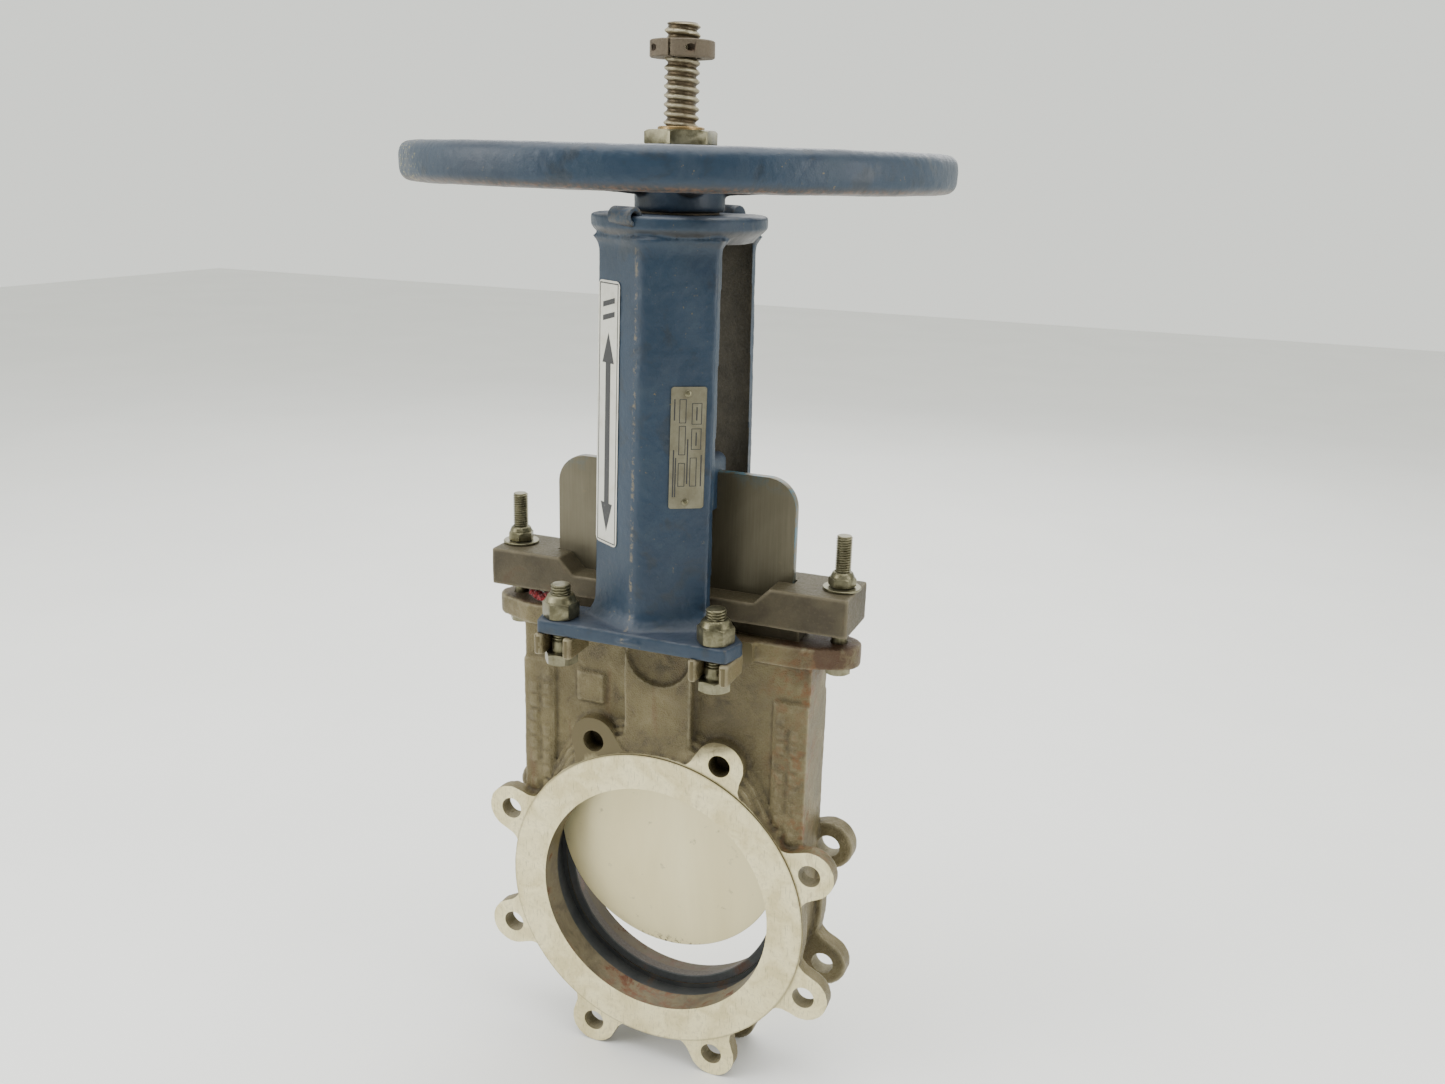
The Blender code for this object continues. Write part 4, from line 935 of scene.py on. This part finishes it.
def make_body():
    body = body_casting()
    for side in (-1, 1):
        cut(body, *face_trims(side))
    cut(body, cylinder(BORE_RADIUS, (0, -0.1, BORE_Z), (0, SEAT_BACK + 0.6 * MM, BORE_Z), 160))
    cut(body, cylinder(SEAT_BACK_RADIUS, (0, 0, BORE_Z), (0, FACE_Y + MM, BORE_Z), 160,
                       BORE_RADIUS))
    cut(body, cylinder(POCKET_RADIUS, (0, POCKET_FRONT, BORE_Z), (0, 4.6 * MM, BORE_Z), 160))
    depth = RAISED_FACE_HEIGHT + FLANGE_THICKNESS + 3 * MM
    holes = []
    for x, z, _ in lug_positions():
        for side in (-1, 1):
            holes.append(cylinder(LUG_HOLE_RADIUS, at(x, side * 0.08, z),
                                  at(x, side * (FACE_Y - depth), z), 48))
    cut(body, gather(holes))
    slot = [(105 * MM, 300 * MM)]
    slot += reversed(arc((0, -2.5 * MM), 105.7 * MM, -180, 0, 80))
    slot.append((-105 * MM, 300 * MM))
    cut(body, plate(slot, -4.6 * MM, 4.6 * MM, upright=True))
    cut(body, box(at(-114 * MM, -14 * MM, 205 * MM), at(114 * MM, 14 * MM, 260 * MM)))
    cut(body, gather([cylinder(7 * MM, at(side * GLAND_STUD_X, 0, 215 * MM),
                               at(side * GLAND_STUD_X, 0, 260 * MM), 32) for side in (-1, 1)]))
    base_material(body, cast_stainless())
    lug_face = FACE_Y - RAISED_FACE_HEIGHT - 0.1 * MM

    def on_face(centre, normal):
        return abs(centre.y) > lug_face and abs(normal.y) > 0.9

    def in_bore(centre, normal):
        radius = math.hypot(centre.x, centre.z - BORE_Z)
        return radius < BORE_RADIUS + 0.5 * MM and abs(normal.y) < 0.5

    def in_pocket(centre, normal):
        radius = math.hypot(centre.x, centre.z - BORE_Z)
        deep = POCKET_FRONT - 0.1 * MM < centre.y < SEAT_FRONT
        floor = BORE_RADIUS + 0.5 * MM < radius < POCKET_RADIUS + 0.5 * MM
        return deep and (floor or abs(normal.y) > 0.9)

    assign(body, machined_face(), on_face)
    assign(body, bore_surface(), in_bore)
    assign(body, pocket_surface(), in_pocket)
    place(body, "valve_casting", BODY, "cast_stainless", None, "body", angle=32)


def make_seat():
    profile = [(SEAT_RADIUS + 0.8 * MM, SEAT_FRONT), (103.6 * MM, SEAT_FRONT),
               (103.7 * MM, SEAT_BACK), (SEAT_BACK_RADIUS, SEAT_BACK),
               (SEAT_RADIUS, SEAT_FRONT + 0.8 * MM)]
    ring = turned(profile, 160, raise_by=0.0)
    moved(ring, (0, 0, BORE_Z), Z_TO_Y)
    place(ring, "seat_face_ring", BODY, "seat_metal", seat_surface(), "seat_ring")


# Gate, packing and gland ----------------------------------------------------------------

def make_gate():
    half = 103.5 * MM
    corner = 24 * MM
    top = height("gate")
    outline = arc((0, 45 * MM), half, -180, 0, 96)
    outline += arc((half - corner, top - corner), corner, 0, 90, 14)
    outline += arc((-half + corner, top - corner), corner, 90, 180, 14)
    gate = plate(outline, -4 * MM, 4 * MM, upright=True)
    soften(gate, 0.6 * MM, 3)
    place(gate, "gate_plate", LIFT, "gate_stainless", gate_sheet(), "gate")


def make_gland():
    bottom = 261.4 * MM
    top = height("packing_gland")
    outline = [(155.5 * MM, bottom), (155.5 * MM, top), (92 * MM, top), (79 * MM, 279.5 * MM)]
    outline += [(-x, z) for x, z in reversed(outline)]
    gland = plate(outline, -27.1 * MM, 27.1 * MM, upright=True)
    nose_low = height("packing_gland", top=False)
    union(gland, box(at(-113.4 * MM, -13.4 * MM, nose_low),
                     at(113.4 * MM, 13.4 * MM, bottom + 5 * MM)))
    as_casting(gland, 1.3 * MM, 3, 0.25 * MM, 0.18 * MM, 3.0)
    cut(gland, box(at(-105 * MM, -4.8 * MM, nose_low - MM), at(105 * MM, 4.8 * MM, top + MM)))
    cut(gland, gather([cylinder(7 * MM, at(side * GLAND_STUD_X, 0, bottom - 5 * MM),
                                at(side * GLAND_STUD_X, 0, top + 5 * MM), 32) for side in (-1, 1)]))
    place(gland, "gland_follower", BODY, "gland_steel", gland_casting(), "packing_gland")


# Threads, bolts and nuts ----------------------------------------------------------------

def threaded_rod(radius, root, pitch, low, high, left_hand=False, segments=40, tip=1.0 * MM):
    """A rod with a real helical thread, from the radius at each angle and height."""
    per_turn = 8
    rows = max(2, int((high - low) / pitch * per_turn))
    hand = -1 if left_hand else 1
    rings = []
    for row in range(rows + 1):
        z = low + (high - low) * row / rows
        chamfer = max(0.0, tip - (high - z))
        ring = []
        for step in range(segments):
            angle = 2 * math.pi * step / segments
            phase = ((z - low) / pitch - hand * angle / (2 * math.pi)) % 1.0
            wave = min(1.0, max(0.0, 1.9 * abs(2 * phase - 1) - 0.45))
            reach = min(root + (radius - root) * wave, radius - chamfer)
            ring.append(Vector((reach * math.cos(angle), reach * math.sin(angle), z)))
        rings.append(ring)
    return loft(rings)


def hexagon(across_flats, low, high, chamfer):
    """A hexagon block with both ends chamfered."""
    corner = across_flats / math.sqrt(3)
    block = cylinder(corner, (0, 0, low), (0, 0, high), 6)
    profile = [(0, low), (corner - 1.6 * chamfer, low), (corner + 0.1 * MM, low + chamfer),
               (corner + 0.1 * MM, high - chamfer), (corner - 1.6 * chamfer, high), (0, high)]
    return combine(block, turned(profile, 72, raise_by=0.0), "INTERSECT")


def crowned_nut(across_flats, hex_height, crown_height, hole):
    """An all-metal lock nut: a hexagon with a coned collar."""
    nut = hexagon(across_flats, 0, hex_height, 1.1 * MM)
    wide = across_flats * 0.49
    narrow = across_flats * 0.40
    full = hex_height + crown_height
    profile = [(0, hex_height - MM), (wide, hex_height - MM), (wide, hex_height + 0.8 * MM),
               (wide - 0.5 * MM, hex_height + 1.6 * MM), (narrow + 0.6 * MM, full - 1.4 * MM),
               (narrow - 0.6 * MM, full - 0.3 * MM), (narrow - 1.6 * MM, full), (0, full)]
    union(nut, turned(profile, 64, raise_by=0.0))
    cut(nut, cylinder(hole, (0, 0, -MM), (0, 0, full + MM), 40))
    return soften(nut, 0.35 * MM, 2, 30)


def headed_bolt(across_flats, head_height, radius, pitch, length):
    """Head below zero, a threaded shank above it."""
    bolt = hexagon(across_flats, -head_height, 0, 1.2 * MM)
    thread_start = max(0.0, length - 48 * MM)
    union(bolt, cylinder(radius, (0, 0, -MM), (0, 0, thread_start + MM), 40))
    union(bolt, threaded_rod(radius, radius - 0.6 * pitch, pitch, thread_start, length))
    return bolt


def copies(pattern, spots, names, body, slot, material, nodes, turn=0.7):
    """Put a copy of a piece at each spot, each turned a little differently."""
    for index, (spot, name, node) in enumerate(zip(spots, names, nodes)):
        item = bpy.data.objects.new(name, pattern.data.copy())
        bpy.context.scene.collection.objects.link(item)
        moved(item, spot, Matrix.Rotation(turn * (index + 1), 4, "Z"))
        place(item, name, body, slot, material, node, angle=30)
    bpy.data.objects.remove(pattern, do_unlink=True)


def make_fasteners(zinc):
    gland_spots = [Vector((side * GLAND_STUD_X, 0, 0)) for side in (-1, 1)]
    yoke_spots = [Vector((sx * ARM_X, sy * YOKE_BOLT_Y, 0)) for sy in (-1, 1) for sx in (-1, 1)]

    def lifted(spots, z):
        return [spot + Vector((0, 0, BORE_Z + z)) for spot in spots]

    def numbered(stem, count):
        return [f"{stem}_{index + 1}" for index in range(count)]

    seat = CHEST_TOP - TOP_PLATE_THICKNESS - 0.3 * MM
    bolt_length = height("gland_bolt_1") - seat
    copies(headed_bolt(19 * MM, 8 * MM, 6.3 * MM, 1.95 * MM, bolt_length),
           lifted(gland_spots, seat), ["gland_stud_left", "gland_stud_right"], BODY, "zinc_plate",
           zinc, numbered("gland_bolt", 2))
    washer_low = height("gland_washer_1", top=False)
    washer = turned(in_mm([(6.9, 0), (14.6, 0), (15, 0.4), (15, 1.4), (14.6, 1.8), (6.9, 1.8)]), 64,
                    raise_by=0.0)
    copies(washer, lifted(gland_spots, washer_low), ["gland_washer_left", "gland_washer_right"],
           BODY, "zinc_plate", zinc, numbered("gland_washer", 2))
    nut_low = height("gland_nut_1", top=False)
    copies(crowned_nut(19 * MM, 7.6 * MM, 4.6 * MM, 6.5 * MM), lifted(gland_spots, nut_low),
           ["gland_locknut_left", "gland_locknut_right"], BODY, "zinc_plate", zinc,
           numbered("gland_nut", 2), turn=0.35)
    bolt_length = height("yoke_bolt_1") - seat
    copies(headed_bolt(24 * MM, 9 * MM, 7.9 * MM, 2.3 * MM, bolt_length), lifted(yoke_spots, seat),
           numbered("yoke_capscrew", 4), BODY, "zinc_plate", zinc, numbered("yoke_bolt", 4))
    nut_low = height("yoke_nut_1", top=False)
    copies(crowned_nut(25.4 * MM, 13.2 * MM, 5.8 * MM, 8.1 * MM), lifted(yoke_spots, nut_low),
           numbered("yoke_locknut", 4), BODY, "zinc_plate", zinc, numbered("yoke_nut", 4), turn=0.9)


# Yoke -----------------------------------------------------------------------------------

def leg_skin(x):
    """How far out the leg's outer skin stands at x, at the cap: a V with a rounded ridge."""
    bend = LEG_RIDGE_ROUND
    fall = (math.hypot(x, bend) - bend) / (math.hypot(LEG_HALF_WIDTH, bend) - bend)
    return LEG_RIDGE_Y - (LEG_RIDGE_Y - LEG_EDGE_Y) * fall


def leg_ring(side, z):
    """The leg's section at one height, flared at the foot and under the cap."""
    foot_flare = 10 * MM * max(0.0, 1 - (z - 258 * MM) / (17 * MM)) ** 2
    cap_flare = 5 * MM * max(0.0, 1 - (LEG_TOP - z) / (12 * MM)) ** 2
    half_width = LEG_HALF_WIDTH + foot_flare * 0.55 + cap_flare
    splay = (LEG_TOP - z) * LEG_SPLAY
    steps = 24
    across = [2 * step / steps - 1 for step in range(steps + 1)]
    outer = [(half_width * u, leg_skin(LEG_HALF_WIDTH * u) + splay + foot_flare + cap_flare * 0.5)
             for u in across]
    inner = [(half_width * u, leg_skin(LEG_HALF_WIDTH * u) + splay - LEG_WALL)
             for u in reversed(across)]
    return [at(x, side * y, z) for x, y in outer + inner]


def yoke_leg(side):
    levels = [254, 258, 261, 264, 268, 272, 276, 280, 284, 300, 360, 420, 480, 540, 544, 548, 551,
              554]
    return loft([leg_ring(side, level * MM) for level in levels])


def yoke_foot(side):
    outline = [(-80, 85), (80, 85), (85, 62), (68, 40), (-68, 40), (-85, 62)]
    return plate(in_mm((x, side * y) for x, y in outline), CHEST_TOP - 0.5 * MM, 260.4 * MM)


def yoke_casting():
    cove = [(0, 570), (65.5, 570), (67, 568.5), (67, 561), (64, 557.5), (60, 554.5), (56, 550),
            (0, 550)]
    yoke = turned(in_mm(cove), 128)
    for side in (-1, 1):
        union(yoke, yoke_leg(side), yoke_foot(side))
    return as_casting(yoke, 1.5 * MM, 4, 0.4 * MM, 0.2 * MM, 7.0)


def grease_boss(side):
    """A short round boss across the cap's corner, with a countersunk hole in its end."""
    start = at(side * 27 * MM, side * 55.5 * MM, 569 * MM)
    end = at(side * 5.5 * MM, side * 66 * MM, 569 * MM)
    profile = in_mm([(0, 0), (6.6, 0), (7.2, 0.8), (7.2, 22.5), (6.4, 23.7), (4.2, 23.9),
                     (3.0, 22.6), (3.0, 14), (0, 13)])
    return moved(turned(profile, 40, raise_by=0.0), start, toward(end - start))


def make_yoke(enamel):
    yoke = yoke_casting()
    cut(yoke, cylinder(0.2, at(0, 0, 200 * MM), at(0, 0, CHEST_TOP + 0.3 * MM), 16))
    cut(yoke, cylinder(23.3 * MM, at(0, 0, 545 * MM), at(0, 0, 580 * MM), 96))
    cut(yoke, cylinder(28.5 * MM, at(0, 0, 540 * MM), at(0, 0, 559.5 * MM), 96))
    holes = [cylinder(8.6 * MM, at(sx * ARM_X, sy * YOKE_BOLT_Y, 240 * MM),
                      at(sx * ARM_X, sy * YOKE_BOLT_Y, 270 * MM), 40)
             for sx in (-1, 1) for sy in (-1, 1)]
    cut(yoke, gather(holes))
    union(yoke, *(grease_boss(side) for side in (-1, 1)))
    base_material(yoke, enamel)

    def inside_leg(centre, _normal):
        z = centre.z - BORE_Z
        if not 265 * MM < z < 549 * MM or abs(centre.x) > LEG_HALF_WIDTH - 0.4 * MM:
            return False
        skin = leg_skin(centre.x) + (LEG_TOP - z) * LEG_SPLAY - LEG_WALL
        return abs(abs(centre.y) - skin) < 2.5 * MM

    assign(yoke, dark_casting(), inside_leg)
    place(yoke, "yoke_casting", BODY, "blue_paint", None, "yoke", angle=40)


# Handwheel and stem nut -----------------------------------------------------------------

def rim_profile(middle_radius, middle_z, half_width, half_height, squareness):
    """A rounded square section; squareness 1 would be an ellipse."""
    count = 40
    profile = []
    for step in range(count):
        angle = 2 * math.pi * step / count
        across = math.copysign(abs(math.cos(angle)) ** squareness, math.cos(angle))
        up = math.copysign(abs(math.sin(angle)) ** squareness, math.sin(angle))
        profile.append((middle_radius + half_width * across, middle_z + half_height * up))
    return profile


def wheel_spoke(angle):
    """An oval arm, thick at the hub and thin in the middle, that flares into the rim."""
    rings = []
    for step in range(13):
        t = step / 12
        along = (SPOKE_START + (SPOKE_END - SPOKE_START) * t) * MM
        z = (594 + 8 * t) * MM
        flare = max(0, t - 0.85) / 0.15
        half_width = (13.5 - 4.5 * t + 4.5 * flare) * MM
        half_height = (11 - 3.5 * t + 2 * flare) * MM
        ring = []
        for point in range(20):
            turn = 2 * math.pi * point / 20
            local = Vector((along, half_width * math.cos(turn), z + half_height * math.sin(turn)))
            ring.append(Matrix.Rotation(angle, 3, "Z") @ local + Vector((0, 0, BORE_Z)))
        rings.append(ring)
    return loft(rings)


def make_handwheel(enamel):
    rim = rim_profile(RIM_MIDDLE_RADIUS, (RIM_LOW + RIM_HIGH) / 2, 14.4 * MM, 14.1 * MM, 0.62)
    wheel = turned(rim, 192)
    hub = turned(in_mm([(0, 618.5), (30, 618.5), (33, 615), (33.6, 604), (34.4, 575),
                        (33.4, 571.8), (0, 571.8)]), 96)
    for index in range(SPOKE_COUNT):
        union(hub, wheel_spoke(math.pi / 2 + 2 * math.pi * index / SPOKE_COUNT))
    union(wheel, hub)
    as_casting(wheel, 1.7 * MM, 3, 0.35 * MM, 0.22 * MM, 11.0)
    cut(wheel, cylinder(0.08, at(0, 0, 618.5 * MM), at(0, 0, 640 * MM), 48))
    cut(wheel, cylinder(0.06, at(0, 0, 560 * MM), at(0, 0, 571.8 * MM), 48))
    cut(wheel, cylinder(19.3 * MM, at(0, 0, 560 * MM), at(0, 0, 630 * MM), 96))
    cut(wheel, box(at(-4.3 * MM, -22.3 * MM, 560 * MM), at(4.3 * MM, 0, 630 * MM)))
    place(wheel, "wheel_casting", WHEEL, "blue_paint", enamel, "handwheel", angle=40)


def make_wheel_nut(zinc, bronze):
    low = height("wheel_nut", top=False)
    high = height("wheel_nut")
    nut = hexagon(48.5 * MM, 0, high - low, 1.6 * MM)
    cut(nut, cylinder(17.8 * MM, (0, 0, -MM), (0, 0, high), 80))
    soften(nut, 0.5 * MM, 2, 30)
    roughen(nut, ((0.15 * MM, 150.0),))
    moved(nut, at(0, 0, low), Matrix.Rotation(0.12, 4, "Z"))
    place(nut, "wheel_locknut", WHEEL, "zinc_plate", zinc, "wheel_nut", angle=30)

    top = height("stem_nut")
    low = height("stem_nut", top=False)
    profile = [(13.6, low / MM), (27, low / MM), (27, low / MM + 6.5), (19, low / MM + 6.5),
               (19, 616), (17.5, 616), (17.5, top / MM - 0.8), (16.7, top / MM),
               (14.4, top / MM), (13.6, top / MM - 0.8)]
    sleeve = turned(in_mm(profile), 96)
    cut(sleeve, box(at(-4.15 * MM, -20 * MM, 573.5 * MM), at(4.15 * MM, -16.5 * MM, 615.9 * MM)))
    place(sleeve, "stem_nut_sleeve", WHEEL, "bronze", bronze, "stem_nut")


# Stem, collar and clevis ----------------------------------------------------------------

def make_stem(steel, rust):
    low = height("stem", top=False)
    top = height("stem")
    stem = threaded_rod(13.2 * MM, 10.6 * MM, STEM_PITCH, low, top, left_hand=True, segments=64,
                        tip=2.0 * MM)
    moved(stem, (0, 0, BORE_Z))
    place(stem, "stem_screw", LIFT, "stem_steel", steel, "stem", angle=50)
    low = height("stop_collar", top=False)
    high = height("stop_collar")
    profile = [(13.5 * MM, low), (23.2 * MM, low), (23.9 * MM, low + 0.7 * MM),
               (23.9 * MM, high - 0.7 * MM), (23.2 * MM, high), (13.5 * MM, high)]
    collar = turned(profile, 96)
    cut(collar, box(at(-1 * MM, -25 * MM, low - MM), at(1 * MM, 0, high + MM)))
    screw_y = -18.6 * MM
    middle_z = (low + high) / 2
    cut(collar, cylinder(2.6 * MM, at(-17 * MM, screw_y, middle_z), at(17 * MM, screw_y, middle_z),
                         32))
    roughen(collar, ((0.12 * MM, 160.0),))
    place(collar, "collar_ring", LIFT, "rusty_steel", rust, "stop_collar")
    screw = cylinder(2.3 * MM, at(-11.3 * MM, screw_y, middle_z), at(11.3 * MM, screw_y, middle_z),
                     32)
    hole = hexagon(2.6 * MM, 0, 3 * MM, 0.1 * MM)
    moved(hole, at(9 * MM, screw_y, middle_z), Matrix.Rotation(math.pi / 2, 4, "Y"))
    cut(screw, hole)
    place(screw, "collar_clamp_screw", LIFT, "stem_steel", steel, "collar_screw")


def make_clevis(enamel, steel):
    half = 38 * MM
    corner = 7 * MM
    low = height("stem_clevis", top=False)
    top = height("stem_clevis")
    outline = [(-half, low), (half, low)]
    outline += arc((half - corner, top - corner), corner, 0, 90, 8)
    outline += arc((-half + corner, top - corner), corner, 90, 180, 8)
    clevis = plate(outline, -14 * MM, 14 * MM, upright=True)
    union(clevis, cylinder(20 * MM, at(0, 0, 376.5 * MM), at(0, 0, top - 0.2 * MM), 64))
    as_casting(clevis, 1.1 * MM, 3, 0.2 * MM, 0.1 * MM, 5.0)
    cut(clevis, box(at(-60 * MM, -4.3 * MM, low - 5 * MM), at(60 * MM, 4.3 * MM, 375.7 * MM)))
    cut(clevis, cylinder(13.5 * MM, at(0, 0, 378.2 * MM), at(0, 0, top + 5 * MM), 64))
    bolt_z = 360 * MM
    cut(clevis, gather([cylinder(5.3 * MM, at(x * MM, -0.03, bolt_z), at(x * MM, 0.03, bolt_z), 32)
                        for x in (-22, 22)]))
    place(clevis, "clevis_block", LIFT, "blue_paint", enamel, "stem_clevis")
    face = 14.3 * MM
    for index, x in enumerate((-22 * MM, 22 * MM)):
        bolt = hexagon(17 * MM, -6.5 * MM, 0, 1 * MM)
        union(bolt, cylinder(5 * MM, (0, 0, -MM), (0, 0, 2 * face + 2 * MM), 32))
        union(bolt, threaded_rod(5 * MM, 4.2 * MM, 1.5 * MM, 2 * face, 2 * face + 8 * MM))
        moved(bolt, at(x, -face, bolt_z), Z_TO_Y)
        place(bolt, f"clevis_capscrew_{index + 1}", LIFT, "stem_steel", steel,
              f"clevis_bolt_{index + 1}")
        nut = hexagon(17 * MM, 0, 7 * MM, 1 * MM)
        cut(nut, cylinder(5.3 * MM, (0, 0, -MM), (0, 0, 9 * MM), 32))
        moved(nut, at(x, face, bolt_z), Z_TO_Y)
        place(nut, f"clevis_hexnut_{index + 1}", LIFT, "stem_steel", steel,
              f"clevis_nut_{index + 1}")


# Nameplate and label --------------------------------------------------------------------

def leg_surface(x, z, lift):
    """A point on the front leg's outer skin, lifted off it."""
    splay = (LEG_TOP - z) * LEG_SPLAY
    return at(x, -leg_skin(x) - splay - lift, z)


def leg_patch(outline, lift, thickness):
    """A thin sheet with a given (x, z) outline that follows the front leg."""
    bm = bmesh.new()
    bm.faces.new([bm.verts.new((x, 0, z)) for x, z in outline])
    low = min(x for x, _ in outline)
    high = max(x for x, _ in outline)
    count = 8
    for step in range(1, count):
        x = low + (high - low) * step / count
        bmesh.ops.bisect_plane(bm, geom=bm.verts[:] + bm.edges[:] + bm.faces[:],
                               plane_co=(x, 0, 0), plane_no=(1, 0, 0))
    grown = bmesh.ops.extrude_face_region(bm, geom=bm.faces[:])
    outer = {item for item in grown["geom"] if isinstance(item, bmesh.types.BMVert)}
    for vertex in bm.verts:
        height_off = lift + (thickness if vertex in outer else 0.0)
        vertex.co = leg_surface(vertex.co.x, vertex.co.z, height_off)
    bmesh.ops.recalc_face_normals(bm, faces=bm.faces)
    return link("patch", bm)


def frame_outline(low, high, width):
    """Four bars that make a rectangular frame, as (low, high) pairs."""
    (x0, z0), (x1, z1) = low, high
    return [((x0, z0), (x1, z0 + width)), ((x0, z1 - width), (x1, z1)),
            ((x0, z0 + width), (x0 + width, z1 - width)),
            ((x1 - width, z0 + width), (x1, z1 - width))]


def rectangle(low, high):
    (x0, z0), (x1, z1) = low, high
    return [(x0, z0), (x1, z0), (x1, z1), (x0, z1)]


def make_plates(zinc, ink):
    low = (21.5 * MM, 357 * MM)
    high = (44 * MM, 449 * MM)
    sheet = leg_patch(rounded_rectangle(low, high, 2.0 * MM), 0.3 * MM, 0.8 * MM)
    place(sheet, "nameplate_sheet", BODY, "nameplate_metal", nameplate_sheet(), "nameplate")
    bars = []
    for corner_low, corner_high in (((27, 374), (31.5, 392)), ((34.5, 374), (39, 396)),
                                    ((27, 398), (31.5, 420)), ((35, 402), (41.5, 418)),
                                    ((35, 421), (41.5, 437)), ((27, 422), (31.5, 440))):
        pieces = frame_outline(*in_mm((corner_low, corner_high)), 0.5 * MM)
        bars += [leg_patch(rectangle(*piece), 1.12 * MM, 0.06 * MM) for piece in pieces]
    for x, low_z, high_z in ((24.0, 366, 402), (25.4, 366, 396), (32.9, 376, 410), (24.0, 424, 440),
                             (41.8, 374, 398), (38.2, 405, 415), (38.2, 424, 434)):
        line = ((x - 0.4) * MM, low_z * MM), ((x + 0.4) * MM, high_z * MM)
        bars.append(leg_patch(rectangle(*line), 1.12 * MM, 0.06 * MM))
    marks = gather(bars)
    place(marks, "nameplate_boxes", BODY, "nameplate_metal", ink)
    for index, node in enumerate(("nameplate_pin_1", "nameplate_pin_2")):
        centre = leg_surface(32.5 * MM, middle(node).z - BORE_Z, 1.7 * MM)
        lean = math.atan((LEG_RIDGE_Y - LEG_EDGE_Y) / (LEG_HALF_WIDTH - LEG_RIDGE_ROUND / 2))
        out = Vector((math.sin(lean), -math.cos(lean), 0))
        profile = in_mm([(0, -0.6), (2.6, -0.6), (2.5, 0), (1.9, 0.5), (1.0, 0.62), (0.8, 0.3),
                         (0, 0.3)])
        pin = turned(profile, 32, raise_by=0.0)
        moved(pin, centre, toward(out))
        place(pin, f"nameplate_screw_{index + 1}", BODY, "zinc_plate", zinc, node)

    low = (-47.3 * MM, 320 * MM)
    high = (-22 * MM, 522 * MM)
    sticker = leg_patch(rounded_rectangle(low, high, 4.0 * MM), 0.3 * MM, 0.4 * MM)
    place(sticker, "label_sheet", BODY, "label_vinyl", label_sheet(), "label")
    inset = 1.6 * MM
    bars = [leg_patch(rectangle(*piece), 0.72 * MM, 0.05 * MM) for piece in
            frame_outline((low[0] + inset, low[1] + inset), (high[0] - inset, high[1] - inset),
                          0.9 * MM)]
    centre_x = (low[0] + high[0]) / 2
    shaft = [(centre_x - 3 * MM, 352 * MM), (centre_x + 3 * MM, 352 * MM),
             (centre_x + 3 * MM, 462 * MM), (centre_x - 3 * MM, 462 * MM)]
    heads = [[(centre_x, 330 * MM), (centre_x + 7 * MM, 353 * MM), (centre_x - 7 * MM, 353 * MM)],
             [(centre_x, 484 * MM), (centre_x - 7 * MM, 461 * MM), (centre_x + 7 * MM, 461 * MM)]]
    stripes = [[(centre_x - 7 * MM, z * MM), (centre_x + 7 * MM, (z + 4) * MM),
                (centre_x + 7 * MM, (z + 8) * MM), (centre_x - 7 * MM, (z + 4) * MM)]
               for z in (492, 502)]
    bars += [leg_patch(shape, 0.72 * MM, 0.05 * MM) for shape in [shaft] + heads + stripes]
    place(gather(bars), "label_arrow", BODY, "label_vinyl", ink)


# Assembly -------------------------------------------------------------------------------

def make_tuft(fibre):
    """A frayed end of packing that has been squeezed out under the gland."""
    pieces = []
    for index, (x, y, z, radius) in enumerate(((-118, -16, 253.5, 3.6), (-112, -19, 252.5, 3.2),
                                               (-107, -17, 254.5, 3.4), (-123, -14, 254.5, 3.0),
                                               (-101, -15, 254, 3.2), (-95, -14, 255, 3.0))):
        bm = bmesh.new()
        bmesh.ops.create_icosphere(bm, subdivisions=4, radius=radius * MM)
        for vertex in bm.verts:
            vertex.co *= 1 + 0.35 * noise.noise(vertex.co * 700 + Vector((index * 7, 0, 0)))
            vertex.co.x *= 1.5
        bmesh.ops.translate(bm, vec=at(x * MM, y * MM, z * MM), verts=bm.verts)
        pieces.append(link("tuft", bm))
    place(gather(pieces), "packing_tuft", BODY, "packing_fibre", fibre, angle=180)


def dress_cad_nodes(bronze, dark, fibre):
    """Materials for the inner CAD pieces whose plain shape is right."""
    for name, item in frame["nodes"].items():
        if name.startswith("packing_ring"):
            material = fibre
        elif name == "yoke_bush":
            material = bronze
        elif name in ("wheel_key", "lower_thrust_washer", "upper_thrust_washer"):
            material = dark
        else:
            continue
        item.data.materials.clear()
        item.data.materials.append(material)


make_camera()
make_studio()
make_floor()
zinc = zinc_metal()
enamel = blue_enamel()
bronze = bronze_metal()
steel = stem_metal()
ink = black_ink()
make_body()
make_seat()
make_gate()
make_gland()
make_fasteners(zinc)
make_yoke(enamel)
make_handwheel(enamel)
make_wheel_nut(zinc, bronze)
rust = rusty_metal()
make_stem(steel, rust)
make_clevis(enamel, steel)
make_plates(zinc, ink)
fibre = red_fibre()
make_tuft(fibre)
dress_cad_nodes(bronze, rust, fibre)
